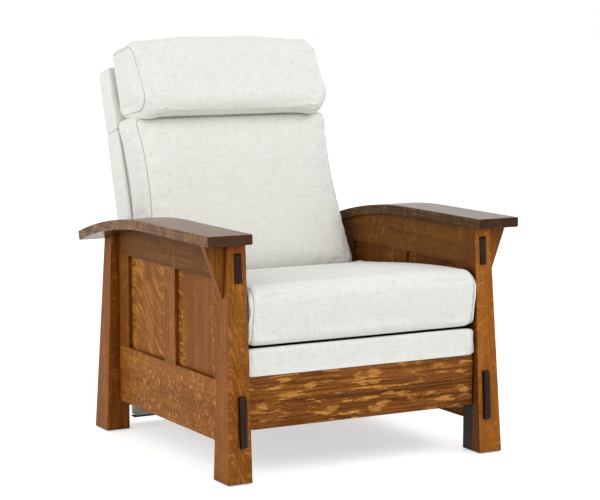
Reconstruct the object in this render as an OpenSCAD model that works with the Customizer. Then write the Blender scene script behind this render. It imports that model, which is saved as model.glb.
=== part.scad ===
// Mission-style recliner armchair in quartersawn oak.
// Two panelled side frames with bent arms carry a fixed base. The seat slides on that base,
// the back hinges on the seat, and a lazy-tong linkage carries the footrest.
// Millimetres. +Z is up, the chair faces -Y, and the floor is at Z = 0.

/* [Overall] */
// Clear width between the inner faces of the posts
clear_w = 652; // [600:2:700]
// Front of the front feet to back of the rear feet
feet_depth = 788; // [740:2:840]
// Height of the flat front half of the arms above the floor
arm_top_h = 601; // [580:1:640]

/* [Posts] */
// Width of a post at the floor
post_foot_w = 66; // [60:1:76]
// Width of a post under the arm
post_top_w = 46; // [42:1:56]
// Depth of a front post at the floor
front_foot_d = 78; // [72:1:90]
// Depth of a front post under the arm
front_top_d = 44.5; // [42:0.5:56]
// Depth of a rear post at the floor
rear_foot_d = 80; // [72:1:90]
// Depth of a rear post at the height of the front half of the arm
rear_top_d = 41; // [38:1:56]
// Thickness of the nylon glide under each post
glide_h = 3; // [2:0.5:5]
// Diameter of a glide
glide_d = 34; // [24:1:40]

/* [Arms] */
// Width of an arm board
arm_w = 119; // [100:1:130]
// Thickness of an arm board
arm_t = 25; // [20:1:30]
// How far the arm board laps over the clear width
arm_lap = 5; // [2:1:10]
// Arm board in front of the top of the front post
arm_nose = 28; // [15:1:40]
// Arm board behind the top of the rear post
arm_tail = 29; // [15:1:40]
// Radius of the bent rear half of the arm, on its top surface
arm_bend_r = 1400; // [1300:10:1800]
// Depth from the middle of the feet to the start of the bend, towards the front
arm_bend_start = 36; // [0:1:80]

/* [Side frames] */
// Thickness of the rails and stiles
frame_t = 22; // [20:1:26]
// Set back of the side frame from the inner faces of the posts
frame_set = 5.5; // [3:0.5:8]
// Height of the bottom rail's lower edge above the floor
bottom_rail_z = 82.5; // [60:0.5:100]
// Height of the bottom rail
bottom_rail_h = 151; // [130:1:170]
// Height of the top rail under the flat half of the arm
top_rail_h = 96.5; // [80:0.5:110]
// Width of the front stile
front_stile_w = 67.5; // [50:0.5:80]
// Width of the middle stile
mid_stile_w = 64; // [50:1:80]
// Width of the rear stile
rear_stile_w = 59.5; // [50:0.5:80]
// Thickness of a panel
panel_t = 6; // [5:0.5:8]
// Recess of a panel behind the outer face of the frame
panel_recess = 10; // [6:0.5:11]
// Depth of the panel groove
groove_d = 8; // [6:0.5:10]
// Play of a panel at the bottom of its groove
panel_play = 0.5; // [0.2:0.1:1]
// Play on each side of a joint in the wood
joint_play = 0.1; // [0.05:0.05:0.3]
// Thickness of a rail tenon
tenon_t = 10; // [8:1:12]
// Length of a rail tenon
tenon_l = 28; // [20:1:30]
// Height of the top rail's tenon
top_tenon_h = 30; // [24:1:32]
// Height of the bottom rail's tenon
bottom_tenon_h = 110; // [80:1:120]
// Shoulder under the top rail's tenon
top_tenon_shoulder = 8; // [5:1:10]

/* [Corbels and plugs] */
// Thickness of a corbel
corbel_t = 19; // [16:1:22]
// Set back of a corbel from the front of the post's top
corbel_set = 15; // [10:1:20]
// Reach of a corbel under the arm, out from the post's top
corbel_reach = 58; // [40:1:62]
// Height of a corbel
corbel_h = 128; // [100:1:150]
// Width of a corbel's lower end
corbel_toe = 6; // [3:1:10]
// Width of a tenon plug
plug_w = 18; // [14:1:22]
// Distance of the plugs from the inner face of the post
plug_in = 13.5; // [10:0.5:16]
// Height of an upper plug
upper_plug_h = 70; // [50:1:80]
// Middle of an upper plug below the arm board
upper_plug_drop = 58; // [50:1:70]
// How proud of the post an upper plug stands
upper_plug_out = 6; // [3:0.5:10]
// Height of a lower plug
lower_plug_h = 122; // [100:1:140]
// Height of the middle of a lower plug above the floor
lower_plug_z = 151; // [130:1:170]
// How proud of the post a lower plug stands
lower_plug_out = 12; // [6:0.5:16]
// How deep a plug sits in the post
plug_in_d = 8; // [5:0.5:10]
// Bevel round the face of a plug
plug_bevel = 4; // [2:0.5:5]

/* [Base] */
// Thickness of the wooden rails of the base
base_rail_t = 19; // [17:1:22]
// Height of the base side rails' lower edge above the floor
base_rail_z = 110; // [95:1:130]
// Thickness of a slide track
track_t = 3; // [2.5:0.5:4]
// Height of a slide track
track_h = 60; // [50:1:70]
// Length of a slide track
track_l = 440; // [400:5:460]
// Height of the front stretcher
front_stretcher_h = 70; // [60:1:80]
// Distance of the front stretcher behind the front posts
front_stretcher_back = 156; // [140:1:200]
// Height of the rear stretcher
rear_stretcher_h = 90; // [70:1:110]
// Height of the rear stretcher's lower edge above the floor
rear_stretcher_z = 60; // [50:1:80]
// Thickness of the rear stretcher
rear_stretcher_t = 22; // [18:1:24]
// Set back of the rear stretcher from the front face of the rear posts
rear_stretcher_set = 31; // [20:1:36]
// Thickness of the upholstered rear apron
apron_t = 24; // [18:1:26]
// Height of the rear apron's lower edge above the floor
apron_z = 22; // [15:1:40]
// Height of the rear apron's upper edge above the floor
apron_top = 262; // [230:1:264]
// Gap between the rear apron and the side of each rear post
apron_gap = 38; // [10:1:50]
// Height of the black edge under the rear apron
apron_edge_h = 3; // [2:0.5:5]

/* [Seat] */
// Height of the top of the seat frame above the floor
seat_frame_top = 323; // [320:1:330]
// Thickness of the seat frame
seat_frame_t = 22; // [18:1:24]
// Width of the members of the seat frame
seat_member_w = 50; // [40:1:60]
// Gap between the seat frame and each post
seat_frame_gap = 8; // [5:1:12]
// Distance of the seat frame behind the front of the feet
seat_frame_front_set = 72; // [70:1:84]
// Distance from the back of the seat frame to the recline pivot
seat_frame_back_set = 45; // [40:1:70]
// Thickness of a webbing strap
strap_t = 2.5; // [2:0.5:3]
// Width of a webbing strap
strap_w = 52; // [40:1:60]
// Straps across the seat and up the back
strap_count = 5; // [4:1:6]
// Gap between the seat cushion and each post
seat_gap = 3; // [2:0.5:10]
// Distance of the seat cushion behind the front of the feet
seat_front_set = 17; // [14:1:24]
// Distance from the back of the seat cushion to the recline pivot
seat_back_set = 60; // [58:1:80]
// Thickness of the seat cushion at its middle
seat_cushion_t = 128; // [110:1:150]
// Rise of the crown in the middle of the seat cushion
seat_crown = 10; // [4:1:24]
// How far the seat cushion's thickness changes from its middle to its front and back
seat_wedge = 16; // [0:1:20]
// Thickness of the seat side plates
plate_t = 4; // [3:0.5:5]
// Travel of the seat as the back reclines
seat_travel = 60; // [40:1:60]
// Radius of the guide pins on the seat side plates
guide_r = 6; // [5:0.5:8]

/* [Back] */
// Tilt of the back from upright
back_tilt = 18.8; // [15:0.1:22]
// Height of the recline pivot above the floor
recline_z = 320; // [316:1:326]
// Distance of the recline pivot in front of the back of the feet
recline_set = 144; // [132:1:154]
// Radius of the recline pins
recline_r = 7; // [6:0.5:8]
// Gap between the back shell and each post
shell_gap = 34; // [30:1:46]
// Thickness of the shell's upholstered sides and rear
shell_t = 12; // [9:1:14]
// Depth of the shell behind the pivot, at the pivot
shell_low_d = 136.5; // [130:0.5:140]
// Depth of the shell behind the pivot, at its top
shell_top_d = 107.5; // [104:0.5:120]
// Height of the shell's lower end along the back
shell_low = 15; // [10:1:25]
// Height of the seam under the hood along the back
hood_low = 520; // [500:1:540]
// Height of the hood's top along the back
hood_top = 695; // [680:1:700]
// Set back of the back cushion's ends from the sides of the shell
back_cushion_set = 8; // [2:0.5:14]
// Height of the back cushion's lower end along the back
back_low = 70; // [64:1:90]
// Gap between the headrest and the back cushion under it
head_rest_gap = 1; // [0.5:0.5:6]
// Thickness of the back cushion
back_cushion_t = 117; // [94:1:118]
// Rise of the crown in the middle of the back cushion
back_crown = 16; // [5:1:24]
// Distance of the shell's front edge behind the pivot line
shell_front_d = 42.5; // [38:0.5:44]
// Width of a back stile
back_stile_w = 30; // [24:1:34]
// Depth of the members of the back frame
back_member_d = 40; // [30:1:42]
// Height of the rails of the back frame
back_rail_h = 55; // [40:1:60]
// Distance of the back frame behind the pivot line
back_frame_d = 50; // [46:1:52]

/* [Headrest] */
// Set back of the headrest's ends from the sides of the shell
head_set = 12; // [4:0.5:16]
// Height of the headrest's lower side along the back
head_low = 508; // [508:1:520]
// Height of the headrest
head_h = 214; // [190:1:220]
// Depth of the headrest
head_d = 170; // [144:1:170]
// Rise of the crown along the top of the headrest
head_crown = 28; // [10:1:32]
// Gap between the middle of the headrest and the hood behind it
head_gap = 3.2; // [3.2:0.2:8]

/* [Footrest] */
// Height of the front rail's lower edge above the floor
fascia_z = 124; // [118:1:130]
// Height of the front rail
fascia_h = 129; // [115:1:134]
// Thickness of the front rail
fascia_t = 20; // [18:1:22]
// Set back of the front rail from the front of the feet
fascia_set = 31.5; // [28:0.5:36]
// Gap between the front rail and each post
fascia_gap = 3; // [2:0.5:6]
// Thickness of the footrest board
board_t = 15; // [12:1:18]
// Height of the footrest board
board_h = 186; // [170:1:188]
// Lower edge of the footrest board above that of the front rail
board_lift = 6; // [4:1:12]
// Height of the footrest pad
pad_h = 67; // [55:1:68]
// Thickness of the footrest pad at its edges
pad_t = 20; // [16:1:22]
// Rise of the crown in the middle of the footrest pad
pad_crown = 6; // [3:1:8]

/* [Footrest linkage] */
// Distance between the end pivots of a link
link_l = 168; // [160:1:172]
// Width of a link
link_w = 15; // [14:0.5:16]
// Thickness of a link
link_t = 4; // [3:0.5:4]
// Gap between neighbouring links
link_gap = 0.5; // [0.4:0.1:0.8]
// Angle of the links from the vertical with the footrest closed
fold_angle = 5; // [5:0.5:6]
// Radius of the link rivets
rivet_r = 4; // [3.5:0.1:4.2]
// Height of the first pivot above the floor
link_z = 290; // [288:1:291]
// Distance of the first pivot behind the footrest board
link_back = 45; // [44:1:48]

/* [Hidden] */
$fn = 48;
// Facets of the large arcs of the arms
arc_fn = 360;
// Overrun of every cut
cut = 5;
// Radial play of a hinge pin in its bore
pin_play = 0.05;
// Radial play of the pivots that close the linkage
open_play = 0.4;
// Gap between a soft piece and its neighbour
soft_gap = 0.3;
// Gap between the seat side plates and the slide tracks
slide_gap = 0.5;

oak = "#8a5428";
oak_dark = "#6b4023";
ebony = "#33261f";
linen = "#e9e7e1";
steel = "#4a4a4c";
birch = "#c9a877";
black = "#1c1c1c";

half_clear = clear_w / 2;
half_depth = feet_depth / 2;
arm_under = arm_top_h - arm_t;
top_rail_z = arm_under - top_rail_h;
upper_plug_z = arm_under - upper_plug_drop;
seat_frame_half_w = half_clear - seat_frame_gap;
seat_half_w = half_clear - seat_gap;
apron_half_w = half_clear - apron_gap;
shell_half_w = half_clear - shell_gap;
back_half_w = shell_half_w - back_cushion_set;
head_half_w = shell_half_w - head_set;
front_post_rear = -half_depth + front_foot_d;
rear_post_front = half_depth - rear_foot_d;
front_lean = atan((front_foot_d - front_top_d) / arm_under);
frame_in = half_clear + frame_set;
frame_out = frame_in + frame_t;
frame_mid = (frame_in + frame_out) / 2;
panel_out = frame_out - panel_recess;
arm_out = half_clear - arm_lap + arm_w;
arm_front = -half_depth + front_foot_d - front_top_d - arm_nose;
arm_rear = rear_post_front + rear_top_d + arm_tail;
bend_y = -arm_bend_start;
bend_z = arm_top_h - arm_bend_r;
bend_angle = asin((arm_rear - bend_y) / arm_bend_r);
stile_low = bottom_rail_z + bottom_rail_h;
front_stile_rear = front_post_rear + front_stile_w;
rear_stile_front = rear_post_front - rear_stile_w;
panel_w = (rear_stile_front - front_stile_rear - mid_stile_w) / 2;
mid_stile_front = front_stile_rear + panel_w;
plug_x = half_clear + plug_in + plug_w / 2;
corbel_front = -half_depth + front_foot_d - front_top_d + corbel_set;

base_in = frame_in - base_rail_t;
track_in = base_in - track_t;
plate_out = track_in - slide_gap;
plate_in = plate_out - plate_t;
seat_frame_low = seat_frame_top - seat_frame_t;
recline_y = half_depth - recline_set;
seat_front = half_depth - seat_front_set;
seat_back = recline_y - seat_back_set;
seat_frame_front = half_depth - seat_frame_front_set;
seat_frame_back = recline_y - seat_frame_back_set;
// Thickness of the flange on top of a seat side plate
flange_t = 3;
// Gap between a flange and the post it slides past
flange_gap = 2;
flange_low = seat_frame_low - flange_t;
base_rail_top = flange_low - soft_gap;

fascia_front = -half_depth + fascia_set;
fascia_half_w = half_clear - fascia_gap;
board_front = fascia_front + fascia_t;
board_rear = board_front + board_t;
board_low = fascia_z + board_lift;
link_y = board_rear + link_back;
// Margin of a side plate round its pivots and slots
plate_margin = 12;
// Height of the horizontal band of a side plate
plate_band_h = 72;
plate_low = flange_low - plate_band_h;
plate_front = link_y - plate_margin;
slot_end_angle = 90 - fold_angle;
slot_low = link_z - link_l * cos(fold_angle);
slot_high = link_z - link_l * cos(slot_end_angle);
slot_half_w = rivet_r + open_play;
guide_z = plate_low + plate_band_h / 2;
track_front = -track_l / 2;
// Places of the two guide pins along a track, as shares of its length
guide_shares = [0.24, 0.8];
// Places of the three rails of the back frame, as shares of its height
back_rail_shares = [0, 0.5, 1];

back_up = [0, sin(back_tilt), cos(back_tilt)];
back_behind = [0, cos(back_tilt), -sin(back_tilt)];
function shell_d(u) = shell_low_d + (shell_top_d - shell_low_d) * u / hood_top;
// Thickness of a recline bracket
bracket_t = 4;
// Gap between a recline bracket and the side of the shell
bracket_gap = 8;
// Margin of a recline bracket round its pin
bracket_margin = 12;
// Height of a recline bracket up the back stile
bracket_h = 48;
back_frame_top = hood_low - soft_gap;
back_frame_out = shell_half_w - shell_t - bracket_t - bracket_gap;

// The back's highest rear corner and the front of the feet are the ends of the chair
reach_rear = recline_y + hood_top * back_up[1] + shell_d(hood_top) * back_behind[1];
function plug_reach(z, proud) = half_depth - (front_foot_d - front_top_d) * z / arm_under + proud;
reach_front = max(half_depth, plug_reach(lower_plug_z - lower_plug_h / 2, lower_plug_out),
                  -arm_front);
shift_y = (reach_front - reach_rear) / 2;

// Places that follow the slope of the posts
function post_out(z) = half_clear + post_foot_w - (post_foot_w - post_top_w) * z / arm_under;
function front_face(z) = -half_depth + (front_foot_d - front_top_d) * z / arm_under;
function rear_face(z) = half_depth - (rear_foot_d - rear_top_d) * z / arm_under;

// A profile of [y, z] points, given thickness along X
module along_x(x, t, points)
    translate([x, 0, 0]) rotate([90, 0, 90]) linear_extrude(t) polygon(points);

// A profile of [x, z] points, given thickness along Y
module along_y(y, t, points)
    translate([0, y + t, 0]) rotate([90, 0, 0]) linear_extrude(t) polygon(points);

// A box between two corners
module box(low, high) translate(low) cube(high - low);

// A bar along X
module x_rod(x, y, z, t, r) translate([x, y, z]) rotate([0, 90, 0]) cylinder(h = t, r = r);

// The chair stands with the middle of its reach over the origin
module placed() translate([0, shift_y, 0]) children();
module left_side() mirror([1, 0, 0]) children();
module pair() {
    children();
    left_side() children();
}

// Space under the bent arm board, between two X planes
module under_arm(x0, x1) {
    box([x0, -half_depth, 0], [x1, bend_y, arm_under]);
    intersection() {
        x_rod(x0, bend_y, bend_z, x1 - x0, arm_bend_r - arm_t, $fn = arc_fn);
        box([x0, bend_y, 0], [x1, half_depth, arm_under]);
    }
}

// Mortise for a rail tenon, open towards one end of the side frame
module mortise(y0, y1, z, h)
    box([frame_mid - tenon_t / 2 - joint_play, y0, z - joint_play],
        [frame_mid + tenon_t / 2 + joint_play, y1, z + h + joint_play]);

module post_blank(front_low, front_high, rear_low, rear_high, top)
    intersection() {
        along_y(-feet_depth, 2 * feet_depth,
                [[half_clear, glide_h], [post_out(glide_h), glide_h],
                 [post_out(top), top], [half_clear, top]]);
        along_x(0, arm_out, [[front_low, 0], [rear_low, 0], [rear_high, arm_under],
                             [front_high, arm_under]]);
    }

module on_front_face(z)
    translate([plug_x, front_face(z), z]) rotate([-front_lean, 0, 0]) children();

module front_post() color(oak) difference() {
    post_blank(-half_depth, front_face(arm_under), front_post_rear, front_post_rear, arm_under);
    mortise(front_post_rear - tenon_l - cut, front_post_rear + cut,
            top_rail_z + top_tenon_shoulder, top_tenon_h);
    mortise(front_post_rear - tenon_l - cut, front_post_rear + cut,
            bottom_tenon_z(), bottom_tenon_h);
    on_front_face(upper_plug_z) plug_hole(upper_plug_h);
    on_front_face(lower_plug_z) plug_hole(lower_plug_h);
}

function bottom_tenon_z() = bottom_rail_z + (bottom_rail_h - bottom_tenon_h) / 2;

module rear_post() color(oak) difference() {
    intersection() {
        post_blank(rear_post_front, rear_post_front, half_depth, rear_face(arm_under), arm_under);
        under_arm(0, arm_out);
    }
    mortise(rear_post_front - cut, rear_post_front + tenon_l + cut,
            top_rail_z + top_tenon_shoulder, top_tenon_h);
    mortise(rear_post_front - cut, rear_post_front + tenon_l + cut,
            bottom_tenon_z(), bottom_tenon_h);
}

module plug_hole(h)
    box([-plug_w / 2 - joint_play, -cut, -h / 2 - joint_play],
        [plug_w / 2 + joint_play, plug_in_d + joint_play, h / 2 + joint_play]);

module plug(h, proud) {
    box([-plug_w / 2, -proud + plug_bevel, -h / 2], [plug_w / 2, plug_in_d, h / 2]);
    hull() {
        box([-plug_w / 2, -proud + plug_bevel, -h / 2],
            [plug_w / 2, 0, h / 2]);
        box([-plug_w / 2 + plug_bevel, -proud, -h / 2 + plug_bevel],
            [plug_w / 2 - plug_bevel, 0, h / 2 - plug_bevel]);
    }
}

module arm_board() color(oak_dark) {
    box([arm_out - arm_w, arm_front, arm_under], [arm_out, bend_y, arm_top_h]);
    intersection() {
        difference() {
            x_rod(arm_out - arm_w, bend_y, bend_z, arm_w, arm_bend_r, $fn = arc_fn);
            x_rod(arm_out - arm_w - cut, bend_y, bend_z, arm_w + 2 * cut, arm_bend_r - arm_t,
                  $fn = arc_fn);
        }
        along_x(arm_out - arm_w - cut, arm_w + 2 * cut,
                [[bend_y, bend_z], [bend_y + arm_bend_r * sin(bend_angle) * 2,
                                    bend_z + arm_bend_r * cos(bend_angle) * 2],
                 [bend_y, bend_z + arm_bend_r * 2]]);
    }
}

// Panel groove between two X planes round the thickness of the panels
module groove(y0, y1, z0, z1)
    box([panel_out - panel_t - joint_play, y0, z0], [panel_out + joint_play, y1, z1]);

module rail_tenons(z, h)
    for (y = [front_post_rear - tenon_l, rear_post_front])
        box([frame_mid - tenon_t / 2, y, z], [frame_mid + tenon_t / 2, y + tenon_l, z + h]);

module top_rail() color(oak) {
    difference() {
        intersection() {
            box([frame_in, front_post_rear, top_rail_z], [frame_out, rear_post_front, arm_under]);
            under_arm(frame_in - cut, frame_out + cut);
        }
        groove(front_post_rear - cut, rear_post_front + cut, top_rail_z - cut,
               top_rail_z + groove_d);
    }
    rail_tenons(top_rail_z + top_tenon_shoulder, top_tenon_h);
}

module bottom_rail() color(oak) {
    difference() {
        box([frame_in, front_post_rear, bottom_rail_z], [frame_out, rear_post_front, stile_low]);
        groove(front_post_rear - cut, rear_post_front + cut, stile_low - groove_d,
               stile_low + cut);
    }
    rail_tenons(bottom_tenon_z(), bottom_tenon_h);
}

// A stile with a stub tenon at each end, and panel grooves on the edges that are asked for
module stile(y0, y1, front_groove, rear_groove) color(oak) difference() {
    union() {
        box([frame_in, y0, stile_low], [frame_out, y1, top_rail_z]);
        box([panel_out - panel_t, y0, stile_low - groove_d + panel_play],
            [panel_out, y1, top_rail_z + groove_d - panel_play]);
    }
    if (front_groove) groove(y0 - cut, y0 + groove_d, 0, arm_top_h);
    if (rear_groove) groove(y1 - groove_d, y1 + cut, 0, arm_top_h);
}

module panel(y0) color(oak)
    box([panel_out - panel_t, y0 - groove_d + panel_play, stile_low - groove_d + panel_play],
        [panel_out, y0 + panel_w + groove_d - panel_play, top_rail_z + groove_d - panel_play]);

module corbel() color(oak)
    along_y(corbel_front, corbel_t,
            [[post_out(arm_under), arm_under],
             [post_out(arm_under) + corbel_reach, arm_under],
             [post_out(arm_under - corbel_h) + corbel_toe, arm_under - corbel_h],
             [post_out(arm_under - corbel_h), arm_under - corbel_h]]);

module front_stile() stile(front_post_rear, front_stile_rear, false, true);
module mid_stile() stile(mid_stile_front, mid_stile_front + mid_stile_w, true, true);
module rear_stile() stile(rear_stile_front, rear_post_front, true, false);
module front_panel() panel(front_stile_rear);
module rear_panel() panel(mid_stile_front + mid_stile_w);

module left_front_post() placed() left_side() front_post();
module right_front_post() placed() front_post();
module left_rear_post() placed() left_side() rear_post();
module right_rear_post() placed() rear_post();
module left_arm() placed() left_side() arm_board();
module right_arm() placed() arm_board();
module left_top_rail() placed() left_side() top_rail();
module right_top_rail() placed() top_rail();
module left_bottom_rail() placed() left_side() bottom_rail();
module right_bottom_rail() placed() bottom_rail();
module left_front_stile() placed() left_side() front_stile();
module left_mid_stile() placed() left_side() mid_stile();
module left_rear_stile() placed() left_side() rear_stile();
module right_front_stile() placed() front_stile();
module right_mid_stile() placed() mid_stile();
module right_rear_stile() placed() rear_stile();
module left_front_panel() placed() left_side() front_panel();
module left_rear_panel() placed() left_side() rear_panel();
module right_front_panel() placed() front_panel();
module right_rear_panel() placed() rear_panel();
module left_corbel() placed() left_side() corbel();
module right_corbel() placed() corbel();

module upper_plugs() color(ebony) placed() pair()
    on_front_face(upper_plug_z) plug(upper_plug_h, upper_plug_out);

module lower_plugs() color(ebony) placed() pair()
    on_front_face(lower_plug_z) plug(lower_plug_h, lower_plug_out);

module floor_glides() color(black) placed() pair()
    for (y = [-half_depth + front_foot_d / 2, half_depth - rear_foot_d / 2])
        translate([half_clear + post_foot_w / 2, y, 0]) cylinder(h = glide_h, d = glide_d);

// The base rails are screwed to the stiles, and the tracks to the base rails
module base_side_rails() color(birch) placed() pair()
    box([base_in, front_post_rear, base_rail_z], [frame_in, rear_post_front, base_rail_top]);

function guide_y(share) = track_front + share * track_l;

// The slots run forward from the guide pins by the travel of the seat
module slide_tracks() color(steel) placed() pair() difference() {
    box([track_in, track_front, guide_z - track_h / 2],
        [base_in, track_front + track_l, guide_z + track_h / 2]);
    for (share = guide_shares) {
        for (y = [guide_y(share), guide_y(share) - seat_travel])
            x_rod(track_in - cut, y, guide_z, track_t + 2 * cut, guide_r + open_play);
        box([track_in - cut, guide_y(share) - seat_travel, guide_z - guide_r - open_play],
            [base_in + cut, guide_y(share), guide_z + guide_r + open_play]);
    }
}

module front_stretcher() color(birch) placed()
    box([-base_in, front_post_rear + front_stretcher_back, base_rail_z],
        [base_in, front_post_rear + front_stretcher_back + base_rail_t,
         base_rail_z + front_stretcher_h]);

rear_stretcher_front = rear_post_front + rear_stretcher_set;
apron_front = rear_stretcher_front + rear_stretcher_t;

module rear_stretcher() color(birch) placed()
    box([-half_clear, rear_stretcher_front, rear_stretcher_z],
        [half_clear, apron_front, rear_stretcher_z + rear_stretcher_h]);

module rear_apron() color(linen) placed()
    box([-apron_half_w, apron_front, apron_z], [apron_half_w, apron_front + apron_t, apron_top]);

module apron_edge() color(black) placed()
    box([-apron_half_w, apron_front, apron_z - apron_edge_h],
        [apron_half_w, apron_front + apron_t, apron_z]);

// A side plate has a band under the seat frame, a leg with the upright slot, and a rear ear
module seat_side_plates() color(steel) placed() pair() {
    difference() {
        union() {
            box([plate_in, plate_front, plate_low], [plate_out, recline_y, flange_low]);
            box([plate_in, plate_front, slot_low - plate_margin],
                [plate_out, link_y + plate_margin, plate_low]);
            box([plate_in, recline_y, plate_low],
                [plate_out, recline_y + plate_margin, recline_z]);
            box([plate_in, recline_y - plate_margin, flange_low],
                [plate_out, recline_y, recline_z]);
            x_rod(plate_in, recline_y, recline_z, plate_t, plate_margin);
        }
        for (z = [slot_low, slot_high])
            x_rod(plate_in - cut, link_y, z, plate_t + 2 * cut, slot_half_w);
        box([plate_in - cut, link_y - slot_half_w, slot_low],
            [plate_out + cut, link_y + slot_half_w, slot_high]);
        x_rod(plate_in - cut, recline_y, recline_z, plate_t + 2 * cut, recline_r + pin_play);
    }
    x_rod(layer_in(0), link_y, link_z, plate_out - layer_in(0), rivet_r);
}

// Flats on top of the side plates, which the wooden seat frame is screwed to
module seat_flanges() color(steel) placed() pair()
    box([plate_in, plate_front, flange_low],
        [half_clear - flange_gap, seat_frame_back, seat_frame_low]);

module guide_pins() color(steel) placed() pair()
    for (share = guide_shares)
        x_rod(plate_out, guide_y(share), guide_z, track_t, guide_r);

module seat_side_rails() color(black) placed() pair()
    box([seat_frame_half_w - seat_member_w, -seat_frame_front, seat_frame_low],
        [seat_frame_half_w, seat_frame_back, seat_frame_top]);

module seat_cross_rails() color(black) placed()
    for (y = [-seat_frame_front, seat_frame_back - seat_member_w])
        box([-seat_frame_half_w + seat_member_w, y, seat_frame_low],
            [seat_frame_half_w - seat_member_w, y + seat_member_w, seat_frame_top]);

strap_field = 2 * (seat_frame_half_w - seat_member_w) - strap_w;
function strap_x(i) = -strap_field / 2 + strap_field * i / (strap_count - 1);

module seat_webbing() color(black) placed()
    for (i = [0 : strap_count - 1])
        box([strap_x(i) - strap_w / 2, -seat_frame_front, seat_frame_top],
            [strap_x(i) + strap_w / 2, seat_frame_back, seat_frame_top + strap_t]);

// Cushions are built of rings from the middle of the base to the middle of the crown
ring_spread_shares = [0.4, 0.75, 0.92, 0.965, 0.988, 1, 1, 0.994, 0.98, 0.955, 0.92, 0.85,
                      0.72, 0.52, 0.28];
ring_height_shares = [0, 0, 0, 0.015, 0.06, 0.15, 0.75, 0.85, 0.915, 0.96, 0.985, 1,
                      1, 1, 1];
// Points along one side of a ring's outline, from corner to corner
side_shares = [-1, -0.98, -0.94, -0.86, -0.65, -0.35, 0, 0.35, 0.65, 0.86, 0.94, 0.98];
// Rounding of a corner, and how far the middle of a side is drawn in
corner_share = 0.026;
corner_power = 14;
pull_share = 0.01;

function corner_cut(e) = corner_share * pow(abs(e), corner_power);
function outline_point(side, e) =
    let (out = 1 - corner_cut(e) - pull_share * (1 - e * e), along = e * (1 - corner_cut(e)))
    side == 0 ? [out, along] : side == 1 ? [-along, out] : side == 2 ? [-out, -along]
                                                                     : [along, -out];
function outline() = [for (side = [0 : 3]) for (e = side_shares) outline_point(side, e)];

// Faces of a closed skin over rings of n points, with a middle point at each end
function skin_faces(rings, n) = concat(
    [for (j = [0 : n - 1]) [0, 1 + j, 1 + (j + 1) % n]],
    [for (i = [0 : rings - 2]) for (j = [0 : n - 1])
        [1 + i * n + j, 1 + (i + 1) * n + j, 1 + (i + 1) * n + (j + 1) % n]],
    [for (i = [0 : rings - 2]) for (j = [0 : n - 1])
        [1 + i * n + j, 1 + (i + 1) * n + (j + 1) % n, 1 + i * n + (j + 1) % n]],
    [for (j = [0 : n - 1]) [1 + (rings - 1) * n + j, 1 + rings * n,
                            1 + (rings - 1) * n + (j + 1) % n]]);

// A cushion lying on the XY plane. Its crown falls off towards the edges, and its wedge makes
// it thicker towards -Y. Its rise is how far the base reaches beyond the crown on the +Y side
module cushion(half_x, half_y, t, crown, wedge, rise = 0) {
    plan = outline();
    rings = len(ring_spread_shares);
    points = concat(
        [[0, 0, 0]],
        [for (k = [0 : rings - 1]) for (p = plan)
            let (s = ring_spread_shares[k], v = s * p[1])
            [half_x * s * p[0], half_y * v + rise * max(0, v) * (1 - ring_height_shares[k]),
             ring_height_shares[k] * (t - wedge * v + crown * (1 - s * s))]],
        [[0, 0, t + crown]]);
    polyhedron(points, skin_faces(rings, len(plan)), convexity = 4);
}

module seat_cushion() color(linen) placed()
    translate([0, (seat_back - seat_front) / 2, seat_frame_top + strap_t + soft_gap])
        cushion(seat_half_w, (seat_front + seat_back) / 2, seat_cushion_t, seat_crown,
                seat_wedge);

// Pivots of the linkage at rest, in link lengths forward of and below the first pivot.
// Column counts half links forward, row counts half links down
function pivot(column, row) =
    [link_y - column * link_l / 2 * sin(fold_angle), link_z - row * link_l / 2 * cos(fold_angle)];
function layer_in(k) = plate_in - (k + 1) * (link_gap + link_t);

// A flat bar with round ends between two pivots
module link_bar(k, from, to)
    translate([layer_in(k), from[0], from[1]])
        rotate([atan2(to[1] - from[1], to[0] - from[0]), 0, 0]) {
            translate([0, 0, -link_w / 2]) cube([link_t, norm(to - from), link_w]);
            x_rod(0, 0, 0, link_t, link_w / 2);
            x_rod(0, norm(to - from), 0, link_t, link_w / 2);
        }

module link_hole(k, at, play)
    x_rod(layer_in(k) - cut, at[0], at[1], link_t + 2 * cut, rivet_r + play);

// A rivet from the face of one layer to the far face of another
module link_rivet(k_from, k_to, at)
    x_rod(layer_in(k_to), at[0], at[1], layer_in(k_from) - layer_in(k_to) + link_t, rivet_r);

module drive_links() color(steel) placed() pair() {
    difference() {
        link_bar(0, pivot(0, 0), pivot(2, 2));
        link_hole(0, pivot(0, 0), pin_play);
    }
    link_rivet(0, 1, pivot(1, 1));
    link_rivet(0, 2, pivot(2, 2));
}

module cross_links() color(steel) placed() pair() {
    difference() {
        link_bar(1, pivot(0, 2), pivot(2, 0));
        link_hole(1, pivot(1, 1), pin_play);
        link_hole(1, pivot(2, 0), open_play);
    }
    x_rod(layer_in(1), pivot(0, 2)[0], pivot(0, 2)[1], plate_out - layer_in(1), rivet_r);
}

module lift_links() color(steel) placed() pair() {
    difference() {
        link_bar(2, pivot(2, 2), pivot(4, 0));
        link_hole(2, pivot(2, 2), pin_play);
        link_hole(2, pivot(4, 0), open_play);
    }
    link_rivet(2, 3, pivot(3, 1));
}

module reach_links() color(steel) placed() pair() {
    difference() {
        link_bar(3, pivot(2, 0), pivot(4, 2));
        link_hole(3, pivot(3, 1), pin_play);
    }
    link_rivet(1, 3, pivot(2, 0));
    link_rivet(3, 4, pivot(4, 2));
}

module steady_links() color(steel) placed() pair() {
    difference() {
        link_bar(4, pivot(4, 2), pivot(5, 1));
        link_hole(4, pivot(4, 2), pin_play);
    }
    link_rivet(4, 5, pivot(5, 1));
}

// Width of the flange that a bracket has on the board
bracket_flange_w = 26;

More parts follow.
